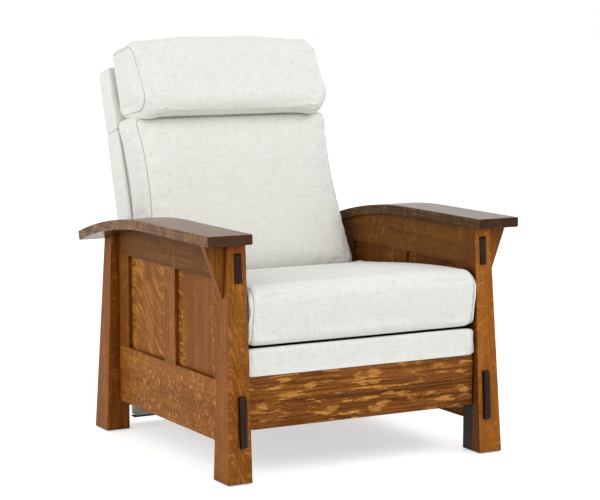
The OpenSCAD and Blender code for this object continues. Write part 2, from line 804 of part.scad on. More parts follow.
// An angle on the back of the board, with the eye and the rivet of the last two pivots
module footrest_brackets() color(steel) placed() pair() {
    low = pivot(5, 1)[1] - link_w / 2;
    high = pivot(4, 0)[1] + link_w / 2;
    difference() {
        union() {
            box([layer_in(5), board_rear, low],
                [layer_in(5) + link_t, pivot(4, 0)[0] + link_w / 2, high]);
            box([layer_in(5) - bracket_flange_w, board_rear, low],
                [layer_in(5) + link_t, board_rear + flange_t, high]);
        }
        link_hole(5, pivot(5, 1), pin_play);
    }
    link_rivet(2, 5, pivot(4, 0));
}

module footrest_board() color(black) placed()
    box([-fascia_half_w + board_lift, board_front, board_low],
        [fascia_half_w - board_lift, board_rear, board_low + board_h]);

module fascia_rail() color(oak) placed()
    box([-fascia_half_w, fascia_front, fascia_z],
        [fascia_half_w, board_front, fascia_z + fascia_h]);

module footrest_pad() color(linen) placed()
    translate([0, board_front - soft_gap, fascia_z + fascia_h + soft_gap + pad_h / 2])
        rotate([90, 0, 0]) cushion(fascia_half_w, pad_h / 2, pad_t, pad_crown, 0);

// The back is drawn upright, with its pivot at the origin, Z along the back and Y behind it
module on_back()
    placed() translate([0, recline_y, recline_z]) rotate([-back_tilt, 0, 0]) children();

module back_stiles() color(birch) on_back() pair()
    box([back_frame_out - back_stile_w, back_frame_d, shell_low],
        [back_frame_out, back_frame_d + back_member_d, back_frame_top]);

back_rail_field = back_frame_top - shell_low - back_rail_h;
module back_rails() color(birch) on_back()
    for (share = back_rail_shares) {
        low = shell_low + share * back_rail_field;
        box([-back_frame_out + back_stile_w, back_frame_d, low],
            [back_frame_out - back_stile_w, back_frame_d + back_member_d, low + back_rail_h]);
    }

back_strap_low = shell_low + back_rail_h;
back_strap_field = back_frame_top - shell_low - 2 * back_rail_h - strap_w;
module back_webbing() color(black) on_back()
    for (i = [0 : strap_count - 1]) {
        low = back_strap_low + back_strap_field * i / (strap_count - 1);
        box([-back_frame_out, back_frame_d - strap_t, low],
            [back_frame_out, back_frame_d, low + strap_w]);
    }

// Felt pad between the webbing and the back cushion, from side to side of the shell
module back_pad() color(linen) on_back()
    box([-shell_half_w + shell_t + soft_gap, shell_front_d + soft_gap, back_low],
        [shell_half_w - shell_t - soft_gap, back_frame_d - strap_t - soft_gap,
         hood_low - soft_gap]);

bracket_in = back_frame_out;
module recline_brackets() color(steel) on_back() pair()
    difference() {
        union() {
            x_rod(bracket_in, 0, 0, bracket_t, bracket_margin);
            box([bracket_in, 0, -bracket_margin],
                [bracket_in + bracket_t, back_frame_d + back_member_d, bracket_h]);
        }
        x_rod(bracket_in - cut, 0, 0, bracket_t + 2 * cut, recline_r);
    }

module recline_pins() color(steel) on_back() pair()
    x_rod(bracket_in, 0, 0, plate_out - bracket_in, recline_r);

module back_side() color(linen)
    along_x(shell_half_w - shell_t, shell_t,
            [[shell_front_d, shell_low], [shell_d(shell_low) - shell_t - soft_gap, shell_low],
             [shell_d(hood_low) - shell_t - soft_gap, hood_low - soft_gap],
             [shell_front_d, hood_low - soft_gap]]);

module left_back_side() on_back() left_side() back_side();
module right_back_side() on_back() back_side();

module back_panel() color(linen) on_back()
    along_x(-shell_half_w, 2 * shell_half_w,
            [[shell_d(shell_low) - shell_t, shell_low], [shell_d(shell_low), shell_low],
             [shell_d(hood_low), hood_low - soft_gap],
             [shell_d(hood_low) - shell_t, hood_low - soft_gap]]);

module back_hood() color(linen) on_back()
    along_x(-shell_half_w, 2 * shell_half_w,
            [[shell_front_d, hood_low], [shell_d(hood_low), hood_low],
             [shell_d(hood_top), hood_top], [shell_front_d, hood_top]]);

// The headrest is a D-shaped bolster with boxed ends. Rings run along its width
head_ring_shares = [-1, -0.998, -0.985, -0.962, -0.9, -0.6, -0.25, 0.25, 0.6, 0.9, 0.962, 0.985,
                    0.998, 1];
head_scale_shares = [0.55, 0.82, 0.93, 0.975, 0.985, 0.995, 1, 1, 0.995, 0.985, 0.975, 0.93,
                     0.82, 0.55];
head_points = 36;
head_power = 3.2;
// Fall of the crown towards the ends of the headrest
head_crown_power = 6;
// Rearward lean of the headrest's top, as a share of its height
head_lean_share = 0.1;
head_mid_d = shell_front_d - head_gap - head_d / 2;
head_mid_u = head_low + head_h / 2;
function round_box(c) = sign(c) * pow(abs(c), 2 / head_power);
// Rise of the headrest's underside from its front to its rear
head_tuck = 36;
// A point of the ring at share x of the half width, scaled by s, at angle a round it
function head_point(x, s, a) =
    let (d = s * round_box(cos(a)), u = s * round_box(sin(a)),
         crown = head_crown * (1 - pow(abs(x), head_crown_power)) * max(0, u),
         tuck = head_tuck * (1 + d) / 2 * max(0, -u))
    [head_half_w * x, head_mid_d + d * head_d / 2 + head_lean_share * u * head_h / 2,
     head_mid_u + u * head_h / 2 + crown + tuck];

// Height of the headrest's underside along the back, at distance d behind the pivot line
function head_under(d) =
    head_low + head_tuck / 2 * (1 + (d - head_mid_d + head_lean_share * head_h / 2) * 2 / head_d);

// The upper side of the back cushion follows the headrest's underside
back_front = shell_front_d - soft_gap - back_cushion_t;
back_high = head_under(back_front) - head_rest_gap;
module back_cushion() color(linen) on_back()
    translate([0, shell_front_d - soft_gap, (back_low + back_high) / 2])
        rotate([90, 0, 0])
            cushion(back_half_w, (back_high - back_low) / 2, back_cushion_t, back_crown, 0,
                    head_under(shell_front_d) - head_under(back_front));

module headrest() color(linen) on_back()
    polyhedron(concat(
        [[-head_half_w, head_mid_d, head_mid_u]],
        [for (k = [0 : len(head_ring_shares) - 1]) for (j = [0 : head_points - 1])
            head_point(head_ring_shares[k], head_scale_shares[k], 360 * j / head_points)],
        [[head_half_w, head_mid_d, head_mid_u]]),
        skin_faces(len(head_ring_shares), head_points), convexity = 4);

left_front_post();
right_front_post();
left_rear_post();
right_rear_post();
left_arm();
right_arm();
left_top_rail();
right_top_rail();
left_bottom_rail();
right_bottom_rail();
left_front_stile();
left_mid_stile();
left_rear_stile();
right_front_stile();
right_mid_stile();
right_rear_stile();
left_front_panel();
left_rear_panel();
right_front_panel();
right_rear_panel();
left_corbel();
right_corbel();
upper_plugs();
lower_plugs();
floor_glides();
base_side_rails();
slide_tracks();
front_stretcher();
rear_stretcher();
rear_apron();
apron_edge();
seat_side_plates();
seat_flanges();
guide_pins();
seat_side_rails();
seat_cross_rails();
seat_webbing();
seat_cushion();
drive_links();
cross_links();
lift_links();
reach_links();
steady_links();
footrest_brackets();
footrest_board();
footrest_pad();
fascia_rail();
back_stiles();
back_rails();
back_webbing();
back_pad();
recline_brackets();
recline_pins();
back_panel();
left_back_side();
right_back_side();
back_hood();
back_cushion();
headrest();
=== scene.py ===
# %% [markdown]
# # A recliner armchair in quartersawn oak and off-white linen
#
# This lesson dresses a finished construction model of a mission-style recliner. The model
# holds every board, bolt and cushion at its real size. Here the boards get eased edges and a
# stained oak finish, and every cushion gets a sewn and stuffed cover in place of its plain
# solid. All lengths are metres unless a name ends in _mm.

# %% Load the construction model
import math
from dataclasses import dataclass
from functools import partial

import bmesh
import bpy
import numpy as np
from mathutils import Matrix, Vector


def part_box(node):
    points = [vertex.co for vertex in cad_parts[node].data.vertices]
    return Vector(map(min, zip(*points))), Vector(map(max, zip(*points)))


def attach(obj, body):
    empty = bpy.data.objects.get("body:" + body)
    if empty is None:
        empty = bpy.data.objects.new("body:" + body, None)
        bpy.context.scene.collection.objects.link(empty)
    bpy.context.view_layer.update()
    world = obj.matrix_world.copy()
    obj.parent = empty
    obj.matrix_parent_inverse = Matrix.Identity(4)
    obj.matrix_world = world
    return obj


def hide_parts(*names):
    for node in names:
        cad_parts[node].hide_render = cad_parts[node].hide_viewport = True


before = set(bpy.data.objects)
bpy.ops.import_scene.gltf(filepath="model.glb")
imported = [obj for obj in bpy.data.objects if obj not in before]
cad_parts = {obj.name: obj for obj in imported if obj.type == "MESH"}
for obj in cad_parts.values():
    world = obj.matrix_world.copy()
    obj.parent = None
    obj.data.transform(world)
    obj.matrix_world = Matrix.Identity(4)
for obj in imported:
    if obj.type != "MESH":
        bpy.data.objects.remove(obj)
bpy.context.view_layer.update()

# %% [markdown]
# ## The camera
#
# A product photo is taken with a long lens from a few metres away, so that the verticals stay
# nearly parallel. The place, the turn and the lens here were solved from the chair's own feet,
# posts and rails, which are known lengths. Any other lens would need another distance, and the
# near arm would grow or shrink against the far one.

# %% Camera
scene = bpy.context.scene
look_down = math.radians(7.226)
look_right = math.radians(29.104)
camera_data = bpy.data.cameras.new("studio_camera")
camera_data.sensor_width = 36
camera_data.sensor_fit = "HORIZONTAL"
camera_data.lens = 123.48
camera = bpy.data.objects.new("studio_camera", camera_data)
camera.location = (-2.5663, -4.7372, 1.1742)
camera.rotation_euler = (math.radians(90) - look_down, 0, -look_right)
scene.collection.objects.link(camera)
scene.camera = camera
print("camera", tuple(round(v, 3) for v in camera.location))

# %% [markdown]
# ## Colour and node helpers
#
# Paint shops and photo editors write colours as sRGB hex values, but a shader computes with
# linear light. One function converts, so that every colour below can be checked against a
# swatch. One more function fills a node's sockets, with values or with links, and one adds a
# node. A material starts with a function that adds nodes to its own tree, which keeps each
# finish short enough to read as a recipe. Two sets of settings come again and again: a ramp
# that starts and ends softly, and a mix that works on colours.

# %% Helpers for colours and nodes
SMOOTH = {"interpolation_type": "SMOOTHSTEP"}
COLOURS = {"output": 2, "data_type": "RGBA"}


def linear(swatch):
    channels = [int(swatch[i:i + 2], 16) / 255 for i in (1, 3, 5)]
    return [c / 12.92 if c <= 0.04045 else ((c + 0.055) / 1.055) ** 2.4
            for c in channels] + [1.0]


def fill(node, sockets):
    for key, value in sockets.items():
        if isinstance(value, bpy.types.NodeSocket):
            node.id_data.links.new(value, node.inputs[key])
        else:
            node.inputs[key].default_value = value


def add_node(tree, kind, sockets=None, output=0, **options):
    """Adds a node and gives back one of its outputs, or all of them where output is None."""
    node = tree.nodes.new("ShaderNode" + kind)
    for name, value in options.items():
        setattr(node, name, value)
    fill(node, sockets or {})
    return node.outputs if output is None else node.outputs[output]


def start_material(name):
    """The new material, its main shader and a function that adds nodes to it."""
    material = bpy.data.materials.new(name)
    material.use_nodes = True
    tree = material.node_tree
    return material, tree.nodes["Principled BSDF"], partial(add_node, tree)


print("white", linear("#ffffff")[:3], "mid grey", [round(c, 3) for c in linear("#808080")[:3]])

# %% [markdown]
# ## Studio, floor and light
#
# The chair stands in a white studio. A real one is lit by large soft boxes and by its own
# white walls, which also give the lacquered arms their pale sheen. The world plays the walls:
# plain soft light for surfaces, and pure white for the eye and for reflections. The floor is
# a sheet of white paper that keeps the soft shadow of the chair.

# %% White walls
scene.view_settings.view_transform = "Standard"
wall_light = 0.70
world = bpy.data.worlds.new("white_studio")
scene.world = world
world.use_nodes = True
add = partial(add_node, world.node_tree)
ray = add("LightPath", output=None)
seen = add("Math", {0: ray["Is Camera Ray"], 1: ray["Is Transmission Ray"]},
           operation="MAXIMUM")
seen = add("Math", {0: seen, 1: ray["Is Glossy Ray"]}, operation="MAXIMUM")
fill(world.node_tree.nodes["Background"], {
    "Color": linear("#ffffff"), "Strength": add("MapRange", {0: seen, 3: wall_light, 4: 1.0})})
print("wall light", wall_light)

# %% Paper floor
floor_reach = 30
floor_mesh = bpy.data.meshes.new("studio_floor")
floor_mesh.from_pydata([(-floor_reach, -floor_reach, 0), (floor_reach, -floor_reach, 0),
                        (floor_reach, floor_reach, 0), (-floor_reach, floor_reach, 0)], [],
                       [(0, 1, 2, 3)])
floor = bpy.data.objects.new("studio_floor", floor_mesh)
scene.collection.objects.link(floor)
# Matt paper glows a little to the eye, which lifts it to the white of the walls
paper, shader, add = start_material("white_paper_sweep")
ray = add("LightPath", output=None)
seen = add("Math", {0: ray["Is Camera Ray"], 1: ray["Is Glossy Ray"]}, operation="MAXIMUM")
fill(shader, {"Base Color": linear("#f2f2f2"), "Roughness": 0.9, "Specular IOR Level": 0.0,
              "Emission Color": linear("#ffffff"),
              "Emission Strength": add("Math", {0: seen, 1: 0.55}, operation="MULTIPLY")})
floor.data.materials.append(paper)
print("floor", floor.name)


# %% Soft boxes
def soft_box(name, place, size, power, aim=(0, 0, 0.5)):
    data = bpy.data.lights.new(name, "AREA")
    data.shape = "RECTANGLE"
    data.size, data.size_y = size
    data.energy = power
    lamp = bpy.data.objects.new(name, data)
    lamp.location = place
    lamp.rotation_euler = (Vector(aim) - Vector(place)).to_track_quat("-Z", "Y").to_euler()
    scene.collection.objects.link(lamp)


soft_box("left_soft_box", (-3.6, -0.3, 1.5), size=(2.2, 2.0), power=35)
soft_box("front_top_soft_box", (0.4, -3.2, 3.2), size=(2.4, 2.0), power=36)
soft_box("right_top_soft_box", (2.4, -1.6, 3.2), size=(2.4, 2.0), power=17)

# %% [markdown]
# ## Where a point lies in its board
#
# A picture of wood would repeat and slide over a board, so the grain is computed from the
# place of each point. Every board carries its own middle and half size, which say how near an
# edge a point is, and a shift of its own, because no two boards come from the same plank.
# Noise that is stretched along one direction makes grain lines, pores and threads. Its lengths
# are given in millimetres.

# %% Places and stretched noise
BOARD_SHIFT = "board_shift"
BOARD_MIDDLE = "board_middle"
BOARD_HALF = "board_half"
BOARD_TONE = "board_tone"
MM = 1000.0
X, Y, Z = 0, 1, 2


def place_in_mm(add):
    where = add("TexCoord", output="Object")
    return add("VectorMath", {0: where, 1: (MM, MM, MM)}, operation="MULTIPLY")


def stretched_noise(add, parts, lengths_mm, detail=2.0, roughness=0.5):
    place = add("CombineXYZ", dict(enumerate(parts)))
    place = add("VectorMath", {0: place, 1: lengths_mm}, operation="DIVIDE")
    return add("TexNoise", {"Vector": place, "Scale": 1.0, "Detail": detail,
                            "Roughness": roughness})


def board_place(add):
    """The place in mm with the board's shift, and the share from -1 to 1 between its edges."""
    middle, half, shift = (add("Attribute", output="Vector", attribute_name=name)
                           for name in (BOARD_MIDDLE, BOARD_HALF, BOARD_SHIFT))
    inside = add("VectorMath", {0: place_in_mm(add), 1: middle}, operation="SUBTRACT")
    share = add("VectorMath", {0: inside, 1: half}, operation="DIVIDE")
    place = add("VectorMath", {0: inside, 1: shift}, operation="ADD")
    return [add("SeparateXYZ", {0: vector}, output=None) for vector in (place, share, middle)]


print("axes", X, Y, Z)

# %% [markdown]
# ## The ray figure of quartersawn oak
#
# An oak log cut along its radius shows the ray cells as golden flecks across fine straight
# grain. Each board shows them in its own way: as tiger stripes, as broken flecks, as long
# blotches or as a ladder of ticks near an edge. The flecks are the high places of a noise,
# thin one way and long the other. Other noises bend its lines, fray them along the grain and
# thin them out in patches, so that one recipe gives every kind of figure.

# %% The rays
@dataclass
class Rays:
    """Lengths in mm, except for low, soft, strength, cover, ticks and calm, which are shares."""
    thick: float
    long: float
    bend: float
    bend_every: float
    stray: float
    stray_every: float
    low: float
    soft: float
    strength: float
    cover: float
    sweep: float = 0.0
    ticks: float = 0.0
    calm: float = 0.0
    patch: float = 70.0
    fray: float = 2.0


def ray_share(add, rays, grain, across, depth, edge_share, hard_lines):
    """From 0 to 1, how much of a fleck shows. The curves of equal bent height are level at
    the board's edges and steep between them."""
    edge_reach = add("Math", {0: edge_share}, operation="ABSOLUTE")
    climb = add("MapRange", {0: edge_share, 1: -0.62, 2: 0.62}, **SMOOTH)
    swing = stretched_noise(add, (0.37, across, grain),
                            (1, rays.bend_every, 4 * rays.bend_every), detail=1.0)
    stray = stretched_noise(add, (grain, across, depth),
                            (rays.stray_every, rays.stray_every, 60))
    bent = add("Math", {0: climb, 1: rays.sweep, 2: grain}, operation="MULTIPLY_ADD")
    for field, reach in ((swing, rays.bend), (stray, rays.stray), (hard_lines, rays.fray)):
        bent = add("Math", {0: field, 1: 2 * reach, 2: bent}, operation="MULTIPLY_ADD")
    drift = add("Math", {0: stray, 1: rays.stray, 2: across}, operation="MULTIPLY_ADD")
    flecks = stretched_noise(add, (bent, drift, depth), (rays.thick, rays.long, 60),
                             roughness=0.55)
    figure = add("MapRange", {0: flecks, 1: rays.low, 2: rays.low + rays.soft}, **SMOOTH)
    patches = stretched_noise(add, (grain, across, depth), (rays.patch, rays.patch, 90))
    cover = add("MapRange", {0: patches, 1: rays.cover, 2: rays.cover + 0.16}, **SMOOTH)
    figure = add("Math", {0: figure, 1: cover}, operation="MULTIPLY")
    if rays.calm:
        calm = add("MapRange", {0: edge_reach, 1: rays.calm - 0.2, 2: rays.calm + 0.15}, **SMOOTH)
        figure = add("Math", {0: figure, 1: calm}, operation="MULTIPLY")
    if rays.ticks:
        ticks = stretched_noise(add, (bent, across, depth), (8.5, 34, 60), detail=1.0)
        ticks = add("MapRange", {0: ticks, 1: 0.50, 2: 0.62}, **SMOOTH)
        near_edge = add("MapRange", {0: edge_reach, 1: 0.60, 2: 0.80}, **SMOOTH)
        ticks = add("Math", {0: ticks, 1: near_edge}, operation="MULTIPLY")
        ticks = add("Math", {0: ticks, 1: rays.ticks}, operation="MULTIPLY")
        figure = add("Math", {0: figure, 1: ticks}, operation="MAXIMUM")
    return figure


# Thin tiger stripes that climb across a panel, with short ticks at its edges
panel_rays = Rays(thick=6.5, long=60, bend=20, bend_every=120, stray=9, stray_every=40,
                  low=0.48, soft=0.13, strength=0.72, cover=0.28, sweep=-150, ticks=0.95)
# A panel with a calm middle and ticks down both sides
calm_panel_rays = Rays(thick=7, long=34, bend=8, bend_every=120, stray=10, stray_every=36,
                       low=0.50, soft=0.13, strength=0.80, cover=0.34, ticks=1.0, calm=0.62)
# Small broken flecks that lie all ways
rail_rays = Rays(thick=8, long=16, bend=12, bend_every=60, stray=16, stray_every=34,
                 low=0.50, soft=0.12, strength=0.78, cover=0.36)
# Faint long flecks on a nearly plain face
plain_rays = Rays(thick=12, long=30, bend=40, bend_every=90, stray=14, stray_every=60,
                  low=0.53, soft=0.16, strength=0.36, cover=0.40)
# Slanting flecks on the fronts of the posts
post_rays = Rays(thick=8, long=26, bend=10, bend_every=90, stray=12, stray_every=34,
                 low=0.49, soft=0.14, strength=0.46, cover=0.36, sweep=80, patch=60)
# Long blotches that run with the grain
blotch_rays = Rays(thick=62, long=12, bend=8, bend_every=160, stray=9, stray_every=60,
                   low=0.535, soft=0.06, strength=0.82, cover=0.36, patch=60, fray=2)
# Slanting ticks on the edges of the arms
arm_rays = Rays(thick=9, long=60, bend=20, bend_every=60, stray=10, stray_every=50,
                low=0.50, soft=0.12, strength=0.55, cover=0.26, sweep=40)
print("ray figures for panels, rails, posts, front rail and arms")

# %% [markdown]
# ## Grain, stain and lacquer
#
# The maker stains the boards mid brown and lacquers them satin, so the open grain goes dark,
# the dense rays stay light, and the surface has a soft sheen. Real pores are 0.3 mm wide. They
# are drawn at about 2 mm and the grain lines at 3 mm, because finer ones would vanish in the
# picture. End grain drinks the stain and goes darker. Inner corners and the faces that look
# into the chair are darkened with painted shade.

# %% The oak recipe
def quartersawn_oak(name, along, face, colours, rays, lines=0.5, roughness=0.42, shine=0.1,
                    inner_shade=0.2, black_heel=False):
    """along is the axis of the grain, face the axis that the quartered face looks along.
    colours are dark, mid, light and ray. inner_shade is how much painted shade darkens the
    faces that look into the chair. A black heel is the lower rear half of a post's inner side."""
    dark, mid, light, gold = (linear(swatch) for swatch in colours)
    material, shader, add = start_material(name)
    place, share, middle = board_place(add)
    other = 3 - along - face
    grain, across, depth = place[along], place[other], place[face]

    wave = stretched_noise(add, (grain, across, depth), (260, 46, 46), detail=1.0)
    wavy = add("Math", {0: wave, 1: 14.0, 2: across}, operation="MULTIPLY_ADD")
    fibre = (grain, wavy, depth)
    hard_lines = stretched_noise(add, fibre, (170, 3.4, 3.4), roughness=0.6)
    streaks = stretched_noise(add, fibre, (420, 13, 13))
    pores = stretched_noise(add, fibre, (9, 2.0, 2.0), detail=1.0)
    bands = stretched_noise(add, fibre, (620, 40, 40), detail=3.0)
    figure = ray_share(add, rays, grain, across, depth, share[other], hard_lines)
    normals = add("SeparateXYZ", {0: add("TexCoord", output="Normal")}, output=None)
    facing = add("Math", {0: normals[face]}, operation="ABSOLUTE")
    facing = add("MapRange", {0: facing, 1: 0.35, 2: 0.75}, **SMOOTH)
    facing = add("Math", {0: facing, 1: 0.8, 2: 0.2}, operation="MULTIPLY_ADD")
    figure = add("Math", {0: figure, 1: facing}, operation="MULTIPLY")
    figure = add("Math", {0: figure, 1: rays.strength}, operation="MULTIPLY")

    lighter = add("MapRange", {0: bands, 1: 0.34, 2: 0.66}, **SMOOTH)
    streaked = add("MapRange", {0: streaks, 1: 0.46, 2: 0.70, 4: 0.5 * lines}, **SMOOTH)
    lined = add("MapRange", {0: hard_lines, 1: 0.40, 2: 0.66, 4: lines}, **SMOOTH)
    between_rays = add("Math", {0: figure, 1: -0.6, 2: 1.0}, operation="MULTIPLY_ADD")
    lined = add("Math", {0: lined, 1: between_rays}, operation="MULTIPLY")
    pored = add("MapRange", {0: pores, 1: 0.48, 2: 0.70, 4: 0.5}, **SMOOTH)
    end_grain = add("Math", {0: normals[along]}, operation="ABSOLUTE")
    end_grain = add("MapRange", {0: end_grain, 1: 0.55, 2: 0.85, 4: 0.75}, **SMOOTH)
    # Painted shade: the faces that look into the chair are darkened by inner_shade
    outward = add("Math", {0: middle[X]}, operation="SIGN")
    inner = add("Math", {0: normals[X], 1: outward}, operation="MULTIPLY")
    inner = add("MapRange", {0: inner, 1: -0.5, 2: -0.8}, **SMOOTH)
    painted_inward_shade = add("Math", {0: inner, 1: inner_shade}, operation="MULTIPLY")
    stains = [(lighter, light), (streaked, dark), (figure, gold), (lined, dark), (pored, dark),
              (end_grain, linear("#3a1d0c")), (painted_inward_shade, linear("#20140d"))]
    if black_heel:
        rear = add("MapRange", {0: share[Y], 1: -0.14, 2: -0.08}, **SMOOTH)
        low = add("MapRange", {0: share[Z], 1: -0.32, 2: -0.42}, **SMOOTH)
        heel = add("Math", {0: rear, 1: low}, operation="MULTIPLY")
        heel = add("Math", {0: inner, 1: heel}, operation="MULTIPLY")
        stains.append((heel, linear("#35302c")))
    colour = mid
    for stained, stain in stains:
        colour = add("Mix", {0: stained, 6: colour, 7: stain}, **COLOURS)
    tone = add("Attribute", output="Fac", attribute_name=BOARD_TONE)
    colour = add("HueSaturation", {"Value": tone, "Color": colour})
    # Painted shade: inner corners and recesses darken towards #1f0f06 where ambient occlusion
    # finds them
    painted_shade_occlusion = add("AmbientOcclusion", {"Distance": 0.022}, output="AO", samples=6)
    corners = add("MapRange", {0: painted_shade_occlusion, 1: 0.30, 2: 0.82, 3: 0.7, 4: 0.0}, **SMOOTH)
    colour = add("Mix", {0: corners, 6: colour, 7: linear("#1f0f06")}, **COLOURS)

    dullness = add("Math", {0: pores, 1: 0.16, 2: roughness - 0.08}, operation="MULTIPLY_ADD")
    dullness = add("Math", {0: figure, 1: -0.06, 2: dullness}, operation="MULTIPLY_ADD")
    relief = add("Math", {0: hard_lines, 1: -0.5}, operation="MULTIPLY")
    relief = add("Math", {0: pores, 1: -0.7, 2: relief}, operation="MULTIPLY_ADD")
    bump = add("Bump", {"Strength": 0.3, "Distance": 0.0008, "Height": relief})
    fill(shader, {"Base Color": colour, "Roughness": dullness, "Normal": bump, "IOR": 1.5,
                  "Specular IOR Level": shine})
    return material


print("oak recipe ready")

# %% [markdown]
# ## One finish for each kind of board
#
# The boards come from different planks and are rubbed back by hand, so they differ in warmth.
# The panels, posts and stiles are honey brown, the long rails amber and the arms chestnut. The
# top rails are a darker umber, as painted shadow from the arms above them, and the boards on
# the right side are given lower tones, as painted shade, because they look into the chair.
# The arms are polished more than the rest and mirror the white walls at a low angle, the
# upright faces are nearly matt.

# %% Oak finishes
honey = ("#4a2409", "#874e18", "#965b22", "#c38639")
amber = ("#4c260b", "#8a521c", "#995f25", "#c4883c")
# umber is darker than the other palettes as painted shadow: the top rails lie under the arms
umber = ("#2c150a", "#6d4216", "#7e501d", "#a87434")
chestnut = ("#2c150a", "#764814", "#89581e", "#b07c36")
walnut_brown = ("#3a1a08", "#7f4a1c", "#905824", "#c98d42")
oak_panel = quartersawn_oak("oak_panels_tiger_striped", Z, X, honey, panel_rays, lines=0.28,
                            shine=0.05)
oak_calm_panel = quartersawn_oak("oak_panels_calm_middle", Z, X, honey, calm_panel_rays,
                                 lines=0.3, shine=0.05)
oak_rail = quartersawn_oak("oak_rails_golden_brown", Y, X, amber, rail_rays, lines=0.28,
                           shine=0.05)
# The top rails' darker umber is painted shadow from the arms above them
oak_top_rail = quartersawn_oak("oak_top_rails_plain", Y, X, umber, plain_rays, lines=0.28,
                               shine=0.05, inner_shade=0.0)
oak_upright = quartersawn_oak("oak_posts_straight_grain", Z, Y, honey, post_rays, lines=0.45,
                              shine=0.06, inner_shade=0.6, black_heel=True)
oak_plain_upright = quartersawn_oak("oak_posts_plain_face", Z, Y, honey, plain_rays,
                                    lines=0.3, shine=0.06, inner_shade=0.6, black_heel=True)
oak_rear_upright = quartersawn_oak("oak_rear_posts_straight_grain", Z, Y, honey, plain_rays,
                                   lines=0.65, shine=0.06)
oak_stile = quartersawn_oak("oak_stiles_straight_grain", Z, X, honey, plain_rays, lines=0.4,
                            shine=0.06)
oak_front = quartersawn_oak("oak_front_rail_blotched", X, Y, walnut_brown, blotch_rays,
                            lines=0.72, shine=0.06)
oak_arm = quartersawn_oak("oak_arms_bowed", Y, X, chestnut, arm_rays, lines=0.8,
                          roughness=0.25, shine=0.15)
print("oak finishes", [m.name for m in bpy.data.materials if m.name.startswith("oak")])

# %% [markdown]
# ## Ebonised plugs
#
# The square plugs in the front posts cover the tenons. They are oak stained almost black, with
# bevelled faces that catch a thin line of light. The same recipe runs along the grain, with
# less contrast and a harder shine.

# %% Ebonised oak
ebony = ("#120905", "#2c1911", "#362117", "#4a2f20")
ebonised = quartersawn_oak("ebonised_oak_plugs", Z, Y, ebony, plain_rays, lines=0.6,
                           roughness=0.30, shine=0.14)
print("plug finish", ebonised.name)

# %% [markdown]
# ## Hidden timber, webbing, steel and nylon
#
# Under the covers the chair is plain. The inner frame is sanded birch, the seat and back are
# sprung with black elastic webbing, the linkage is zinc-plated steel, and the feet stand on
# black nylon. The seat rails and the footrest board are matt black, as painted shade for the
# dark gap under the seat cushion. They show when the footrest is out or the chair is seen
# from below, so each gets its own simple recipe.

# %% Sanded birch and black paint
def sanded_birch():
    # Pale figure in broad bands, with short brown fibres that sanding has left
    material, shader, add = start_material("sanded_birch")
    parts = add("SeparateXYZ", {0: place_in_mm(add)}, output=None)
    figure = stretched_noise(add, parts, (90, 22, 7), detail=3.0)
    fibres = stretched_noise(add, parts, (14, 2, 2))
    pale = add("MapRange", {0: figure, 1: 0.3, 2: 0.7}, **SMOOTH)
    colour = add("Mix", {0: pale, 6: linear("#c49f6c"), 7: linear("#d8bb8c")}, **COLOURS)
    brown = add("Math", {0: fibres, 1: 0.3}, operation="MULTIPLY")
    colour = add("Mix", {0: brown, 6: colour, 7: linear("#a17c4e")}, **COLOURS)
    bump = add("Bump", {"Strength": 0.2, "Distance": 0.0005, "Height": fibres})
    fill(shader, {"Base Color": colour, "Normal": bump, "Roughness": 0.62})
    return material


def black_as_painted_shade():
    # Matt black over birch as painted shade, thin enough for the grain to show as fine ridges
    material, shader, add = start_material("matt_black_as_painted_shade")
    parts = add("SeparateXYZ", {0: place_in_mm(add)}, output=None)
    ridges = stretched_noise(add, parts, (60, 2, 2))
    rubbed = stretched_noise(add, parts, (45, 45, 45), detail=3.0)
    worn = add("MapRange", {0: rubbed, 1: 0.4, 2: 0.8}, **SMOOTH)
    colour = add("Mix", {0: worn, 6: linear("#121110"), 7: linear("#2a2725")}, **COLOURS)
    bump = add("Bump", {"Strength": 0.3, "Distance": 0.0004, "Height": ridges})
    fill(shader, {"Base Color": colour, "Normal": bump, "Roughness": 0.7,
                  "Specular IOR Level": 0.15})
    return material


print("frame finishes ready")


# %% Elastic webbing, plated steel and nylon
def woven_webbing():
    # Elastic webbing has ribs every 3 mm both ways and a rubber thread's dull shine
    material, shader, add = start_material("black_elastic_webbing")
    ribs_per_turn = 2 * math.pi / 3
    parts = add("SeparateXYZ", {0: place_in_mm(add)}, output=None)
    along = add("Math", {0: parts[X], 1: ribs_per_turn}, operation="MULTIPLY")
    across = add("Math", {0: parts[Y], 1: parts[Z]}, operation="ADD")
    across = add("Math", {0: across, 1: ribs_per_turn}, operation="MULTIPLY")
    weave = add("Math", {0: add("Math", {0: along}, operation="SINE"),
                         1: add("Math", {0: across}, operation="SINE")}, operation="MULTIPLY")
    dust = stretched_noise(add, parts, (30, 30, 30), detail=3.0)
    raised = add("MapRange", {0: weave, 1: -1, 2: 1}, **SMOOTH)
    colour = add("Mix", {0: raised, 6: linear("#141414"), 7: linear("#2b2a29")}, **COLOURS)
    dusty = add("Math", {0: dust, 1: 0.2}, operation="MULTIPLY")
    colour = add("Mix", {0: dusty, 6: colour, 7: linear("#4a4846")}, **COLOURS)
    bump = add("Bump", {"Strength": 0.5, "Distance": 0.0006, "Height": weave})
    fill(shader, {"Base Color": colour, "Normal": bump, "Roughness": 0.7})
    return material


